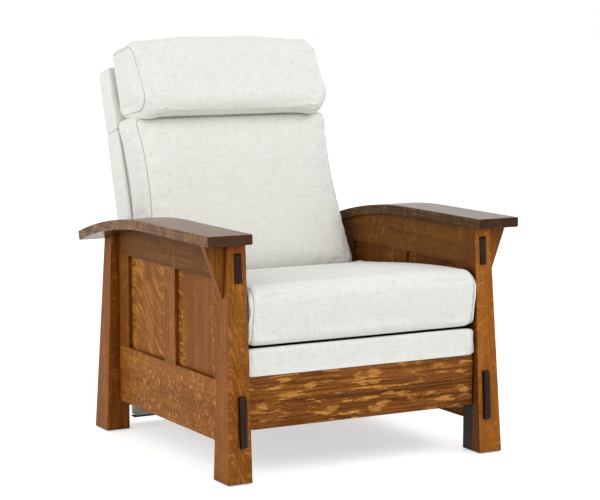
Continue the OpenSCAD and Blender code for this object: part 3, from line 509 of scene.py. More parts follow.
def zinc_plated_steel():
    # Barrel plating leaves a warm grey with faint cloudy patches and fine rolling marks
    material, shader, add = start_material("zinc_plated_steel")
    parts = add("SeparateXYZ", {0: place_in_mm(add)}, output=None)
    clouds = stretched_noise(add, parts, (26, 26, 26), detail=4.0, roughness=0.6)
    marks = stretched_noise(add, parts, (2, 2, 40))
    clear = add("MapRange", {0: clouds, 1: 0.35, 2: 0.65}, **SMOOTH)
    colour = add("Mix", {0: clear, 6: linear("#8f9091"), 7: linear("#b3b1a8")}, **COLOURS)
    dullness = add("Math", {0: marks, 1: 0.22, 2: 0.26}, operation="MULTIPLY_ADD")
    bump = add("Bump", {"Strength": 0.15, "Distance": 0.0003, "Height": marks})
    fill(shader, {"Base Color": colour, "Normal": bump, "Roughness": dullness,
                  "Metallic": 1.0})
    return material


def moulded_nylon():
    # Black from the mould, scuffed grey where it has been pushed over floors
    material, shader, add = start_material("moulded_black_nylon")
    parts = add("SeparateXYZ", {0: place_in_mm(add)}, output=None)
    scuffs = stretched_noise(add, parts, (4, 4, 1), detail=3.0)
    scuffed = add("MapRange", {0: scuffs, 1: 0.5, 2: 0.75}, **SMOOTH)
    colour = add("Mix", {0: scuffed, 6: linear("#161616"), 7: linear("#3a3937")}, **COLOURS)
    dullness = add("Math", {0: scuffs, 1: 0.3, 2: 0.35}, operation="MULTIPLY_ADD")
    fill(shader, {"Base Color": colour, "Roughness": dullness})
    return material


plain_finishes = {"frame_wood": sanded_birch(), "black_wood": black_as_painted_shade(),
                  "webbing": woven_webbing(), "steel": zinc_plated_steel(),
                  "nylon": moulded_nylon()}
print("plain finishes", list(plain_finishes))

# %% [markdown]
# ## Off-white linen
#
# The cover is a plain weave of slubby yarn, thick and thin by turns, in a warm white. The eye
# sees it as short broken lines in both directions and hardly as threads. Real threads are
# 0.7 mm apart, and they are drawn at 2 to 3 mm so that the picture can hold them. Noise that is
# stretched one way makes the weft, and noise stretched the other way makes the warp. Faces
# that look sideways need their own pair, because the first pair would run into them end on.
# Seams hold a little shade, which the covers carry as a value on their points.

# %% The linen recipe
SEAM_SHADE = "seam_shade"


def slubby_linen(name, pale, mid, shade, strength=1.0):
    material, shader, add = start_material(name)
    yarn, slub = 2.3, 26.0
    parts = add("SeparateXYZ", {0: place_in_mm(add)}, output=None)
    weft = stretched_noise(add, parts, (slub, yarn, yarn), roughness=0.6)
    warp = stretched_noise(add, parts, (yarn, slub, slub), roughness=0.6)
    side_weft = stretched_noise(add, parts, (slub, slub, yarn), roughness=0.6)
    side_warp = stretched_noise(add, parts, (slub, yarn, slub), roughness=0.6)
    normals = add("SeparateXYZ", {0: add("TexCoord", output="Normal")}, output=None)
    sideways = add("Math", {0: normals[X]}, operation="ABSOLUTE")
    sideways = add("MapRange", {0: sideways, 1: 0.6, 2: 0.8}, **SMOOTH)
    front_cloth = add("Math", {0: weft, 1: warp}, operation="ADD")
    side_cloth = add("Math", {0: side_weft, 1: side_warp}, operation="ADD")
    cloth = add("Mix", {0: sideways, 2: front_cloth, 3: side_cloth}, data_type="FLOAT")
    cloth = add("Math", {0: cloth, 1: 0.5}, operation="MULTIPLY")
    # Large soft patches where the weave fades towards the mid colour
    weave_fade = stretched_noise(add, parts, (190, 190, 190), detail=3.0)
    light_share = add("MapRange", {0: cloth, 1: 0.36, 2: 0.6}, **SMOOTH)
    dark_threads = add("MapRange", {0: cloth, 1: 0.46, 2: 0.3, 4: 0.55 * strength}, **SMOOTH)
    faded_weave = add("Math", {0: weave_fade, 1: 0.10}, operation="MULTIPLY")
    seam = add("Attribute", output="Fac", attribute_name=SEAM_SHADE)
    seam = add("Math", {0: seam, 1: 0.75}, operation="MULTIPLY")
    colour = linear(mid)
    for share, yarn_colour in ((light_share, pale), (dark_threads, shade), (faded_weave, mid),
                               (seam, "#8d897c")):
        colour = add("Mix", {0: share, 6: colour, 7: linear(yarn_colour)}, **COLOURS)
    bump = add("Bump", {"Strength": 0.55 * strength, "Distance": 0.0009, "Height": cloth})
    fill(shader, {"Base Color": colour, "Normal": bump, "Roughness": 0.92,
                  "Specular IOR Level": 0.25, "Sheen Weight": 0.12, "Sheen Roughness": 0.6})
    return material


linen = slubby_linen("off_white_slub_linen", "#efefea", "#e6e6df", "#cdcbc3")
lining = slubby_linen("off_white_felt_and_lining", "#e9e7e1", "#dedbd3", "#cbc7bd", 0.6)
print("cloths", linen.name, lining.name)

# %% [markdown]
# ## Boards with eased edges
#
# A cabinetmaker never leaves a raw arris: a block plane or sandpaper takes 1 to 2 mm off every
# edge, and that narrow strip catches the light. The construction model has sharp edges, so a
# copy of each board is welded, cleared of needless lines and bevelled. The bevel keeps the
# board's size. Each board also carries its own middle, half size, pattern shift and tone, so
# that the figure can follow its edges, and because no two boards come from the same plank. On
# boards that look into the chair, a lower tone is painted shade.

# %% Ease a board
weld_gap = 1e-5
flat_turn = math.radians(0.4)
sharp_turn = math.radians(25)


def plank_shift(number):
    """Where in its plank a board was cut, in mm. The steps have no common measure."""
    return number * 97.3 % 613, number * 61.7 % 457, number * 43.1 % 389


def eased_board(node, material, body, width, tone, number):
    """A copy of the board, bevelled by width. A tone above 1 is a lighter board."""
    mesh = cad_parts[node].data.copy()
    mesh.name = node + "_eased"
    board = bmesh.new()
    board.from_mesh(mesh)
    bmesh.ops.remove_doubles(board, verts=board.verts, dist=weld_gap)
    bmesh.ops.dissolve_limit(board, angle_limit=flat_turn, verts=board.verts,
                             edges=board.edges)
    for edge in board.edges:
        edge.smooth = len(edge.link_faces) == 2 and edge.calc_face_angle() < sharp_turn
    for face in board.faces:
        face.smooth = True
    board.to_mesh(mesh)
    board.free()
    mesh.materials.clear()
    mesh.materials.append(material)
    low, high = (np.array(v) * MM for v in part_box(node))
    own = {BOARD_SHIFT: plank_shift(number), BOARD_MIDDLE: (low + high) / 2,
           BOARD_HALF: (high - low) / 2}
    for name, vector in own.items():
        mesh.attributes.new(name, "FLOAT_VECTOR", "POINT").data.foreach_set(
            "vector", np.tile(vector, len(mesh.vertices)))
    lightness = mesh.attributes.new(BOARD_TONE, "FLOAT", "POINT")
    lightness.data.foreach_set("value", np.full(len(mesh.vertices), tone))
    piece = bpy.data.objects.new(node + "_eased", mesh)
    scene.collection.objects.link(piece)
    bevel = piece.modifiers.new("eased_edges", "BEVEL")
    bevel.width = width
    bevel.segments = 2
    bevel.limit_method = "ANGLE"
    bevel.angle_limit = sharp_turn
    bevel.harden_normals = True
    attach(piece, body)
    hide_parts(node)
    return piece


print("edges sharper than", round(math.degrees(sharp_turn)), "degrees are eased")

# %% Ease and finish every board
frame_easing, panel_easing, arm_easing, plug_easing = 0.0014, 0.0004, 0.0025, 0.0006
# The right side's panels and stiles look into the chair, so their lower tones are painted shade
oak_boards = [
    ("left_front_post", oak_upright, 1.17), ("right_front_post", oak_plain_upright, 1.45),
    ("left_rear_post", oak_rear_upright, 1.2), ("right_rear_post", oak_rear_upright, 0.9),
    ("left_top_rail", oak_top_rail, 1.0), ("right_top_rail", oak_top_rail, 1.02),
    ("left_bottom_rail", oak_rail, 1.08), ("right_bottom_rail", oak_rail, 0.98),
    ("left_front_stile", oak_stile, 1.05), ("left_mid_stile", oak_stile, 1.18),
    ("left_rear_stile", oak_stile, 0.97), ("right_front_stile", oak_stile, 0.96),
    ("right_mid_stile", oak_stile, 0.9), ("right_rear_stile", oak_stile, 0.82),
    ("left_front_panel", oak_calm_panel, 1.04), ("left_rear_panel", oak_panel, 1.07),
    ("right_front_panel", oak_calm_panel, 0.8), ("right_rear_panel", oak_calm_panel, 0.78),
    ("left_corbel", oak_stile, 0.98), ("right_corbel", oak_stile, 0.99)]
for number, (node, material, tone) in enumerate(oak_boards):
    width = panel_easing if "panel" in node else frame_easing
    eased_board(node, material, "base", width, tone, number + 1)
eased_board("left_arm", oak_arm, "base", arm_easing, tone=1.0, number=31)
# The right arm's lower tone is painted shade on the side that looks into the chair
eased_board("right_arm", oak_arm, "base", arm_easing, tone=0.64, number=32)
eased_board("upper_plugs", ebonised, "base", plug_easing, tone=1.0, number=33)
eased_board("lower_plugs", ebonised, "base", plug_easing, tone=1.1, number=34)
eased_board("fascia_rail", oak_front, "footrest", frame_easing, tone=1.2, number=35)
print("eased boards", len(oak_boards) + 5)

# %% [markdown]
# ## The plain inner parts
#
# The linkage, the plates, the inner frame, the straps and the glides keep the shapes that the
# construction model gives them. Only their finish changes, so they are given new materials in
# place.

# %% Finish the inner parts
inner_finish = {
    "floor_glides": "nylon", "base_side_rails": "frame_wood", "slide_tracks": "steel",
    "front_stretcher": "frame_wood", "rear_stretcher": "frame_wood",
    "seat_side_plates": "steel", "seat_flanges": "steel", "guide_pins": "steel",
    # The seat rails and footrest board are black as painted shade for the gap under the seat
    # cushion
    "seat_side_rails": "black_wood", "seat_cross_rails": "black_wood",
    "drive_links": "steel", "cross_links": "steel", "lift_links": "steel",
    "reach_links": "steel", "steady_links": "steel", "footrest_brackets": "steel",
    "footrest_board": "black_wood", "back_stiles": "frame_wood", "back_rails": "frame_wood",
    "recline_brackets": "steel", "recline_pins": "steel"}
for node, finish in inner_finish.items():
    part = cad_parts[node]
    part.data.materials.clear()
    part.data.materials.append(plain_finishes[finish])
print("inner parts", len(inner_finish))

# %% [markdown]
# ## How a cover is cut and sewn
#
# A boxed cushion is cut as a long strip that wraps round the foam and two panels that close
# its ends. Each end panel is sewn to the strip along its whole outline. The mesh is laid out
# like the cutting pattern: rings of cells follow the strip, closer together beside the seams,
# and a square grid fills each end panel. Working from the pattern puts mesh edges exactly on
# the seams, which a carved block could not do.
#
# A plan is a four-sided outline whose corners are rounded. The profile says, for each ring,
# how far along the cushion it lies and how far it is drawn in from the outline.

# %% Cut a plan with rounded corners
ARC_STEPS = 16


def rounded_plan(corners, radii, cells):
    """Points round a four-sided outline, from the middle of one rounded corner to the next,
    with the given number of cells on each side, and the inward direction at each point."""
    corners = [Vector(c) for c in corners]
    arcs = []
    for i, corner in enumerate(corners):
        before = (corners[i - 1] - corner).normalized()
        after = (corners[(i + 1) % 4] - corner).normalized()
        half = before.angle(after) / 2
        reach = radii[i] / math.tan(half)
        centre = corner + (before + after).normalized() * (radii[i] / math.sin(half))
        first, last = corner + before * reach - centre, corner + after * reach - centre
        turn = first.angle_signed(last)
        steps = [first.copy() for _ in range(ARC_STEPS + 1)]
        for k, arm in enumerate(steps):
            arm.rotate(Matrix.Rotation(-turn * k / ARC_STEPS, 2))
        arcs.append([centre + arm for arm in steps])
    points = []
    for i in range(4):
        path = arcs[i][ARC_STEPS // 2:] + arcs[(i + 1) % 4][:ARC_STEPS // 2 + 1]
        steps = [0.0]
        for a, b in zip(path, path[1:]):
            steps.append(steps[-1] + (b - a).length)
        for k in range(cells[i % 2]):
            at = steps[-1] * k / cells[i % 2]
            j = max(n for n, s in enumerate(steps) if s <= at + 1e-12)
            j = min(j, len(path) - 2)
            share = (at - steps[j]) / max(steps[j + 1] - steps[j], 1e-12)
            points.append(path[j].lerp(path[j + 1], share))
    plan = np.array(points)
    ahead, behind = np.roll(plan, -1, 0), np.roll(plan, 1, 0)
    tangent = ahead - behind
    tangent /= np.linalg.norm(tangent, axis=1)[:, None]
    inward = np.stack([-tangent[:, 1], tangent[:, 0]], 1)
    area = np.sum(plan[:, 0] * ahead[:, 1] - ahead[:, 0] * plan[:, 1])
    return plan, inward * np.sign(area)


print("corners are cut in", ARC_STEPS, "steps")


# %% Lay out a cover
def end_grid(ring, cells):
    """A square grid that fills a ring, drawn in evenly from its four sides."""
    m, n = cells
    count = len(ring)
    u, v = np.meshgrid(np.linspace(0, 1, m + 1), np.linspace(0, 1, n + 1), indexing="ij")
    south = ring[[i % count for i in range(m + 1)]][:, None]
    east = ring[[(m + j) % count for j in range(n + 1)]][None]
    north = ring[[(m + n + m - i) % count for i in range(m + 1)]][:, None]
    west = ring[[(count - j) % count for j in range(n + 1)]][None]
    u, v = u[..., None], v[..., None]
    flat = (1 - v) * south + v * north + (1 - u) * west + u * east
    corner = ((1 - u) * (1 - v) * ring[0] + u * (1 - v) * ring[m]
              + u * v * ring[m + n] + (1 - u) * v * ring[(2 * m + n) % count])
    return flat - corner


def cut_cover(corners, radii, cells, profile, puffs, seams=()):
    """Vertices (a, b, s), quads and the numbers of the sewn points. profile is a list of
    (s, drawn-in) from one end to the other, puffs how far each end panel swells, and seams
    the rings that are sewn, counted from either end."""
    plan, inward = rounded_plan(corners, radii, cells)
    count = len(plan)
    rings = [np.column_stack([plan + inward * drawn, np.full(count, s)])
             for s, drawn in profile]
    vertices = list(np.concatenate(rings))
    quads = []
    for r in range(len(profile) - 1):
        for k in range(count):
            a, b = r * count + k, r * count + (k + 1) % count
            quads.append((a, b, b + count, a + count))
    m, n = cells
    for end, first, puff in ((0, 0, -puffs[0]), (1, (len(profile) - 1) * count, puffs[1])):
        ring = rings[-1 if end else 0]
        grid = end_grid(ring, cells)
        number = np.zeros((m + 1, n + 1), int)
        for i in range(m + 1):
            for j in range(n + 1):
                if j == 0:
                    number[i, j] = first + i
                elif i == m:
                    number[i, j] = first + m + j
                elif j == n:
                    number[i, j] = first + m + n + (m - i)
                elif i == 0:
                    number[i, j] = first + (count - j) % count
                else:
                    p, q = 2 * i / m - 1, 2 * j / n - 1
                    lift = (1 - abs(p) ** 4) * (1 - abs(q) ** 4)
                    number[i, j] = len(vertices)
                    vertices.append(grid[i, j] + (0, 0, puff * lift))
        for i in range(m):
            for j in range(n):
                quad = (number[i, j], number[i, j + 1], number[i + 1, j + 1],
                        number[i + 1, j])
                quads.append(tuple(int(k) for k in (quad[::-1] if end else quad)))
    sewn = [ring % len(profile) * count + k for ring in seams for k in range(count)]
    return np.array(vertices), quads, sewn


def mirrored_profile(half, spacing, edge):
    """Rings over the whole width, from the drawn-in edge rings of one end, outermost first."""
    inner = half - edge[-1][0]
    steps = max(2, round(2 * inner / spacing))
    middle = [(-inner + 2 * inner * k / steps, edge[-1][1]) for k in range(steps + 1)]
    left = [(-half + reach, drawn) for reach, drawn in edge[:-1]]
    return left + middle + [(-s, drawn) for s, drawn in reversed(left)]


def rectangle(a0, b0, a1, b1):
    return [(a0, b0), (a1, b0), (a1, b1), (a0, b1)]


print("covers can be cut")

# %% [markdown]
# ## How a cover is stuffed
#
# The maker cuts the cover a little larger than the foam can fill at the seams, so the cloth
# stands taut in the middle of each panel and gathers into small puckers where it is sewn. A
# cloth simulation does the same. The seam rings are held still, the cloth may grow by a few
# per cent, and air pressure pushes everything else outward for twenty frames. How far a point
# may move is capped, and the result is fitted back to the size that the cushion has in the
# construction model. Without the simulation the cover is only smooth.

# %% Stuff a cover
BLOWING_FRAMES = 20


def cloth_object(name, vertices, quads):
    mesh = bpy.data.meshes.new(name)
    mesh.from_pydata([tuple(v) for v in vertices], [], quads)
    mesh.update()
    for face in mesh.polygons:
        face.use_smooth = True
    piece = bpy.data.objects.new(name, mesh)
    scene.collection.objects.link(piece)
    return piece


def coordinates(mesh):
    flat = np.zeros(len(mesh.vertices) * 3)
    mesh.vertices.foreach_get("co", flat)
    return flat.reshape(-1, 3)


def stuffed(name, vertices, quads, sewn, growth, cap, pressure=4.0):
    """The vertices after the cover has been blown up, with the sewn ones held. growth is a
    share of the cloth's size, cap the furthest move."""
    piece = cloth_object(name + "_sim", vertices, quads)
    held = piece.vertex_groups.new(name="sewn")
    held.add(sewn, 1.0, "REPLACE")
    cloth = piece.modifiers.new("stuffing", "CLOTH")
    cloth.settings.quality = 6
    cloth.settings.mass = 0.25
    cloth.settings.tension_stiffness = 18
    cloth.settings.compression_stiffness = 18
    cloth.settings.shear_stiffness = 8
    cloth.settings.bending_stiffness = 0.8
    cloth.settings.air_damping = 2
    cloth.settings.vertex_group_mass = "sewn"
    cloth.settings.shrink_min = -growth
    cloth.settings.use_pressure = True
    cloth.settings.uniform_pressure_force = pressure
    cloth.settings.effector_weights.gravity = 0
    cloth.collision_settings.use_collision = False
    for number in range(1, BLOWING_FRAMES + 1):
        scene.frame_set(number)
    after = coordinates(piece.evaluated_get(bpy.context.evaluated_depsgraph_get()).data)
    scene.frame_set(1)
    bpy.data.objects.remove(piece)
    moved = after - vertices
    length = np.linalg.norm(moved, axis=1)
    allowed = cap * np.tanh(length / cap)
    return vertices + moved * (allowed / np.maximum(length, 1e-9))[:, None]


print("stuffing runs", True)


# %% Fit and finish a cover
def fitted(vertices, low, high):
    """The vertices, scaled so that their box is the one from low to high."""
    now_low, now_high = vertices.min(0), vertices.max(0)
    return np.array(low) + (vertices - now_low) * (np.array(high) - low) / (now_high - now_low)


def finished_cover(name, vertices, quads, sewn, material, body, node):
    piece = cloth_object(name, vertices, quads)
    mesh = piece.data
    shade = np.zeros(len(vertices))
    shade[sewn] = 1.0
    mesh.attributes.new(SEAM_SHADE, "FLOAT", "POINT").data.foreach_set("value", shade)
    mesh.materials.append(material)
    rounder = piece.modifiers.new("rounder", "SUBSURF")
    rounder.levels = rounder.render_levels = 1
    bpy.context.view_layer.update()
    smooth = bpy.data.meshes.new_from_object(
        piece.evaluated_get(bpy.context.evaluated_depsgraph_get()))
    piece.modifiers.clear()
    piece.data = smooth
    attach(piece, body)
    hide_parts(node)
    return piece


print("seams are shaded by", SEAM_SHADE)

# %% [markdown]
# ## The seat cushion
#
# The seat is one wide foam block under a wrapped cover: the top, front and underside are one
# strip that rolls over the front edge, and the end panels are sewn in near the arms. The block
# is a wedge, higher in front, with a fuller roll there, a belly below it and a soft crown on
# top. Its upper edges drop a little beside the arms, and it lies flat on the webbing.

# %% Cut the seat cover
seat_low, seat_high = (np.array(v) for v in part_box("seat_cushion"))
seat_y0, seat_y1 = seat_low[1], seat_high[1]
seat_z0 = seat_low[2]
seat_rear = seat_y1 - 0.006
seat_half, seat_top_front, seat_top_rear = 0.323, 0.466, 0.428
# How far each ring lies in from the end, and how far it is drawn in. The fifth ring from
# either end is the seam, and the rings on both sides of it bulge
end_seams = (4, -5)
soft_edge = [(0.0006, 0.0125), (0.0022, 0.0086), (0.0052, 0.0060), (0.0095, 0.0048),
             (0.0135, 0.0056), (0.0147, 0.0040), (0.0169, 0.0026), (0.0210, 0.0013),
             (0.0270, 0.0005), (0.0360, 0.0001), (0.0480, 0.0)]
seat_points, seat_quads, seat_sewn = cut_cover(
    [(seat_rear, seat_z0), (seat_y0 + 0.020, seat_z0), (seat_y0 + 0.007, seat_top_front),
     (seat_rear, seat_top_rear)], radii=[0.020, 0.020, 0.036, 0.022], cells=(88, 24),
    profile=mirrored_profile(seat_half, 0.0075, soft_edge), puffs=(0.003, 0.003),
    seams=end_seams)
print("seat box", seat_low.round(4), seat_high.round(4), "points", len(seat_points))

# %% Shape and stuff the seat cover
y, z, x = seat_points.T
over_x = 1 - np.abs(x / seat_half) ** 3
over_y = np.clip(1 - ((y - (seat_y0 + seat_y1) / 2) / ((seat_y1 - seat_y0) / 2)) ** 2, 0, 1)
height = np.clip((z - seat_z0) / 0.140, 0, 1)
crown = (0.012 + 0.006 * over_x) * over_y * height ** 3
shoulder = 0.020 * np.clip((np.abs(x) - 0.298) / 0.025, 0, 1) ** 2 * height ** 3
belly = 0.009 * np.clip((seat_y0 + 0.10 - y) / 0.10, 0, 1) ** 2 * np.sin(math.pi * height)
seat_points = np.stack([y - belly, z + crown - shoulder, x], 1)
stuffed_seat = stuffed("seat_cushion_cover", seat_points, seat_quads, seat_sewn,
                       growth=0.022, cap=0.007)
free = np.clip((seat_points[:, 1] - seat_z0) / 0.035, 0, 1)
stuffed_seat[:, 1] = seat_points[:, 1] + free * (stuffed_seat[:, 1] - seat_points[:, 1])
seat_now = np.stack([stuffed_seat[:, 2], stuffed_seat[:, 0], stuffed_seat[:, 1]], 1)
seat_space, seat_top = 0.3256, 0.474
seat_now = fitted(seat_now, (-seat_space, seat_y0 - 0.005, seat_z0),
                  (seat_space, seat_y1, seat_top))
seat_cover = finished_cover("seat_cushion_cover", seat_now, seat_quads, seat_sewn, linen,
                            "seat", "seat_cushion")
print("seat cover", len(seat_cover.data.polygons), "faces")

# %% [markdown]
# ## The back cushion
#
# The back cushion is sewn the other way round: a boxing strip runs round its sides, and large
# panels close the front and the rear. Its front swells softly, the corners are rounded, and
# the front seam shows as a fine groove down each side. The rear panel lies flat on the felt.
# Use has pressed the foam down, so the boxing is waisted above the seat.

# %% The directions of the leaning back
BACK_TILT = math.radians(18.8)
RECLINE_AXIS = (0.1625131, 0.32)


def from_back(x, w, u):
    """x across the chair, w behind the back's front plane and u up along the back, as places
    in the room."""
    return np.stack([x, RECLINE_AXIS[0] + u * math.sin(BACK_TILT) + w * math.cos(BACK_TILT),
                     RECLINE_AXIS[1] + u * math.cos(BACK_TILT) - w * math.sin(BACK_TILT)], 1)


print("back leans by degrees", round(math.degrees(BACK_TILT), 1))

# %% Cut the back cover
back_half, back_low, back_high = 0.2835, 0.070, 0.5270
rear_plane, boxing, back_depth = 0.0422, 0.1280, 0.1370
rear_edge = [(0.0, 0.016), (0.0003, 0.009), (0.0012, 0.0042), (0.0030, 0.0026),
             (0.0045, 0.0016), (0.008, 0.0007), (0.016, 0.0002)]
boxing_rings = [(0.020 + (boxing - 0.036) * k / 8, 0.0) for k in range(1, 9)]
front_edge = [(boxing + reach, drawn) for reach, drawn in (
    (-0.0110, 0.0003), (-0.0070, 0.0010), (-0.0040, 0.0022), (-0.0025, 0.0040),
    (-0.0020, 0.0064), (0.0005, 0.0076), (0.0040, 0.0106), (0.0070, 0.0156),
    (0.0090, 0.0220))]
rear_seam, front_seam = 3, -5
back_points, back_quads, back_sewn = cut_cover(
    rectangle(-back_half, back_low, back_half, back_high),
    radii=[0.030, 0.030, 0.022, 0.022], cells=(78, 60),
    profile=rear_edge + boxing_rings + front_edge, puffs=(0.0, 0.008),
    seams=(front_seam, rear_seam))
print("back points", len(back_points), "sewn", len(back_sewn))

# %% Stuff and shape the back cover
stuffed_back = stuffed("back_cushion_cover", back_points, back_quads, back_sewn,
                       growth=0.014, cap=0.007)
behind, flattened = stuffed_back[:, 2] < 0, 0.1
stuffed_back[behind, 2] *= flattened
back_now = fitted(stuffed_back, (-0.2855, back_low - 0.001, 0.0),
                  (0.2855, back_high, back_depth))
# The front leans back a little along its upper edge
nod = 0.065 * np.clip((back_now[:, 1] - 0.38) / 0.14, 0, 1) ** 1.5
back_now[:, 2] *= 1 - nod
# The waist, as half widths at heights along the back, and the cushion's push to one side
waist = np.polyfit([0.07, 0.10, 0.18, 0.245, 0.35, 0.45, 0.50, 0.52],
                   [0.303, 0.301, 0.295, 0.2875, 0.281, 0.284, 0.289, 0.291], 4)
even_half, pushed = 0.2755, 0.0045
back_now[:, 0] = back_now[:, 0] * np.polyval(waist, back_now[:, 1]) / even_half + pushed
# The upper side climbs to the rear, where it meets the underside of the headrest
climb = 0.0245 * np.clip((back_now[:, 1] - 0.36) / (back_high - 0.36), 0, 1) ** 2
back_now[:, 1] += climb * (1 - back_now[:, 2] / 0.117)
back_now = from_back(back_now[:, 0], rear_plane - back_now[:, 2], back_now[:, 1])
back_quads = [quad[::-1] for quad in back_quads]
back_cover = finished_cover("back_cushion_cover", back_now, back_quads, back_sewn, linen,
                            "back", "back_cushion")
print("back cover", len(back_cover.data.polygons), "faces")

# %% [markdown]
# ## The bolster headrest
#
# The headrest is a fat D-shaped roll. One strip goes all the way round it, and a panel closes
# each end. It is fullest in the middle and sags a little towards its ends, and its underside
# rises to the rear, where it sits on the hood. Its lower corners are tucked up at both ends.

# %% Cut the headrest cover
head_half = 0.279
head_edge = [(0.0045, 0.026), (0.006, 0.0195), (0.0085, 0.0145), (0.0105, 0.0112),
             (0.0115, 0.0095), (0.0122, 0.0078), (0.0145, 0.0056), (0.0190, 0.0034),
             (0.0250, 0.0017), (0.0340, 0.0006), (0.0460, 0.0)]
head_points, head_quads, head_sewn = cut_cover(
    [(0.036, 0.547), (-0.139, 0.511), (-0.092, 0.719), (0.037, 0.729)],
    radii=[0.034, 0.046, 0.052, 0.016], cells=(34, 40),
    profile=mirrored_profile(head_half, 0.0078, head_edge), puffs=(0.010, 0.010),
    seams=end_seams)
print("headrest points", len(head_points), "sewn", len(head_sewn))

# %% Shape and stuff the headrest cover
w, u, x = head_points.T
over_x = 1 - np.abs(x / head_half) ** 4
tuck = np.clip((np.abs(x) - 0.225) / 0.054, 0, 1) ** 2 * np.clip((0.62 - u) / 0.08, 0, 1)
crown = 0.028 * over_x * np.clip((u - 0.60) / 0.11, 0, 1)
head_points = np.stack([w, u + crown + 0.022 * tuck, x], 1)
stuffed_head = stuffed("headrest_cover", head_points, head_quads, head_sewn, growth=0.03,
                       cap=0.010)
stuffed_head = fitted(stuffed_head, (-0.1395, 0.510, -0.2870), (0.0395, 0.7575, 0.2870))
head_now = from_back(stuffed_head[:, 2], stuffed_head[:, 0], stuffed_head[:, 1])
head_cover = finished_cover("headrest_cover", head_now, head_quads, head_sewn, linen,
                            "back", "headrest")
print("headrest cover", len(head_cover.data.polygons), "faces")

# %% [markdown]
# ## The footrest pad
#
# A slim pad closes the gap between the front rail and the seat cushion. It is foam on the
# footrest board, wrapped and sewn at its ends, with a soft front and rounded upper edge.

# %% Footrest pad
pad_low, pad_high = (np.array(v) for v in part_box("footrest_pad"))
pad_half, pad_space, pad_front = 0.3212, 0.3252, pad_low[1] + 0.004
pad_edge = [(0.0015, 0.0054), (0.0030, 0.0050), (0.0042, 0.0048), (0.0052, 0.0040),
            (0.0058, 0.0034), (0.0064, 0.0028), (0.0080, 0.0018), (0.0110, 0.0010),
            (0.0150, 0.0004), (0.0200, 0.0)]
pad_points, pad_quads, pad_sewn = cut_cover(
    rectangle(pad_high[1], pad_low[2], pad_front, pad_high[2]),
    radii=[0.003, 0.004, 0.009, 0.003], cells=(8, 12),
    profile=mirrored_profile(pad_half, 0.008, pad_edge), puffs=(0.001, 0.001),
    seams=end_seams)
stuffed_pad = stuffed("footrest_pad_cover", pad_points, pad_quads, pad_sewn, growth=0.02,
                      cap=0.005, pressure=2.0)
pad_now = np.stack([stuffed_pad[:, 2], stuffed_pad[:, 0], pad_points[:, 1]], 1)
pad_now = fitted(pad_now, (-pad_space, pad_low[1], pad_low[2]),
                 (pad_space, pad_high[1], pad_high[2]))
pad_cover = finished_cover("footrest_pad_cover", pad_now, pad_quads, pad_sewn, linen,
                           "footrest", "footrest_pad")
print("pad cover", len(pad_cover.data.polygons), "faces")

# %% [markdown]
# ## The upholstered shell
#
# Behind the cushions a timber back is closed with padded cloth: two sides, a rear panel, a
# hood that carries the headrest, and a low apron between the rear legs. Each is a thin block
# with a finger of wadding under the cloth, so its edges are soft and its faces swell by a few
# millimetres. The same pattern of rings and end panels serves, with smaller radii.

# %% How a shell block is made
thin_edge = [(0.0, 0.0046), (0.0002, 0.0032), (0.0009, 0.0018), (0.0020, 0.0009),
             (0.0038, 0.0003), (0.0056, 0.0)]
hood_edge = [(0.0, 0.0060), (0.0003, 0.0040), (0.0012, 0.0022), (0.0028, 0.0010),
             (0.0055, 0.0003), (0.0090, 0.0)]
felt_edge = [(0.0, 0.0010), (0.0004, 0.0003), (0.0010, 0.0)]


def shell_block(name, node, corners, radii, cells, half, puff, to_room, edge=thin_edge,
                spacing=0.01, body="back", material=linen):
    """A padded block over its outline, half to each side. to_room places its points."""
    profile = mirrored_profile(half, spacing, edge)
    points, quads, sewn = cut_cover(corners, radii, cells, profile, (puff, puff))
    origin = to_room(np.zeros((1, 3)))
    if np.linalg.det(to_room(np.eye(3) * 0.01) - origin) < 0:
        quads = [quad[::-1] for quad in quads]
    return finished_cover(name, to_room(points), quads, sewn, material, body, node)


def side_map(middle):
    return lambda p: from_back(middle + p[:, 2], p[:, 0], p[:, 1])


def shell_depth(u):
    """How far behind the back's front plane the shell reaches, at height u along the back."""
    foot_depth, head_depth = 0.1365, 0.1075
    return foot_depth + (head_depth - foot_depth) * (u - shell_low) / (hood_high - shell_low)


shell_low, hood_low, hood_high = 0.015, 0.520, 0.695
shell_front, hood_front, shell_half, board_half = 0.0427, 0.0428, 0.292, 0.006
rear_gap, side_high = 0.0123, hood_low - 0.0003
print("shell half width", shell_half)

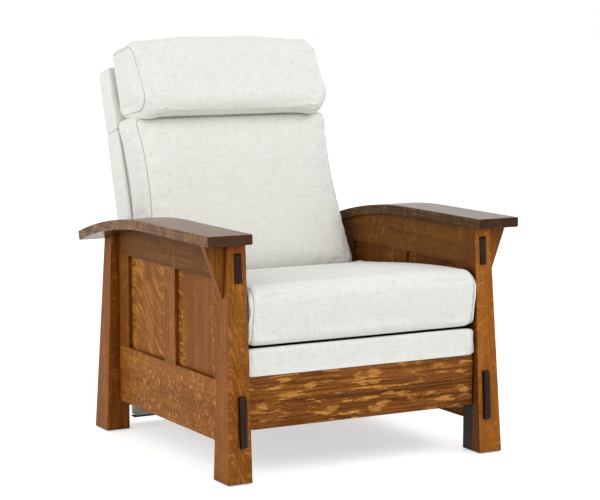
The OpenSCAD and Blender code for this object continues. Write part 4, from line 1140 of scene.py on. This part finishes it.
# %% Shell sides, rear panel and hood
side_corners = [(shell_depth(shell_low) - rear_gap, shell_low), (shell_front, shell_low),
                (shell_front, side_high), (shell_depth(hood_low) - rear_gap, side_high)]
for name, node, middle in (("left_shell_side", "left_back_side", board_half - shell_half),
                           ("right_shell_side", "right_back_side", shell_half - board_half)):
    shell_block(name, node, side_corners, radii=[0.005] * 4, cells=(14, 60), half=board_half,
                puff=0.0028, to_room=side_map(middle), spacing=0.003)
shell_block("shell_rear_panel", "back_panel",
            rectangle(-shell_half, shell_low, shell_half, side_high), radii=[0.006] * 4,
            cells=(64, 56), half=board_half, puff=0.004, spacing=0.003,
            to_room=lambda p: from_back(p[:, 0], shell_depth(p[:, 1]) - board_half + p[:, 2],
                                        p[:, 1]))
hood_corners = [(shell_depth(hood_low), hood_low), (hood_front, hood_low),
                (hood_front, hood_high), (shell_depth(hood_high), hood_high)]
shell_block("shell_hood", "back_hood", hood_corners, radii=[0.006, 0.006, 0.006, 0.010],
            cells=(14, 26), half=shell_half, puff=0.004, to_room=side_map(0.0), edge=hood_edge)
print("shell depth at the foot and at the top", round(shell_depth(shell_low), 4),
      round(shell_depth(hood_high), 4))

# %% Apron and felt
apron_low, apron_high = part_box("rear_apron")
apron_middle = (apron_low[1] + apron_high[1]) / 2
shell_block("rear_apron_cover", "rear_apron",
            rectangle(apron_low[0], apron_low[2], apron_high[0], apron_high[2]),
            radii=[0.005] * 4, cells=(60, 26), half=0.012, puff=0.003, spacing=0.004,
            to_room=lambda p: np.stack([p[:, 0], apron_middle + p[:, 2], p[:, 1]], 1),
            body="base")
felt_half, felt_low, felt_high, felt_plane = 0.2795, 0.071, 0.5195, 0.0450
shell_block("back_felt", "back_pad", rectangle(-felt_half, felt_low, felt_half, felt_high),
            radii=[0.006] * 4, cells=(50, 40), half=0.0022, puff=0.0, spacing=0.004,
            to_room=lambda p: from_back(p[:, 0], felt_plane + p[:, 2], p[:, 1]),
            material=lining, edge=felt_edge)
print("apron height", round(apron_high[2] - apron_low[2], 4))

# %% [markdown]
# ## Webbing and the dark bottom edge
#
# Five elastic straps carry each cushion, and a strip of black cambric closes the apron's
# bottom edge. They are flat and thin, so only their edges are rounded, as a woven selvedge is.

# %% Straps and bottom edge
selvedge = 0.0008
straps = {"seat_webbing": "seat", "back_webbing": "back", "apron_edge": "base"}
for node, body in straps.items():
    piece = eased_board(node, plain_finishes["webbing"], body, selvedge,
                        tone=1.0, number=50)
    piece.name = node + "_woven"
print("woven strips", len(straps))
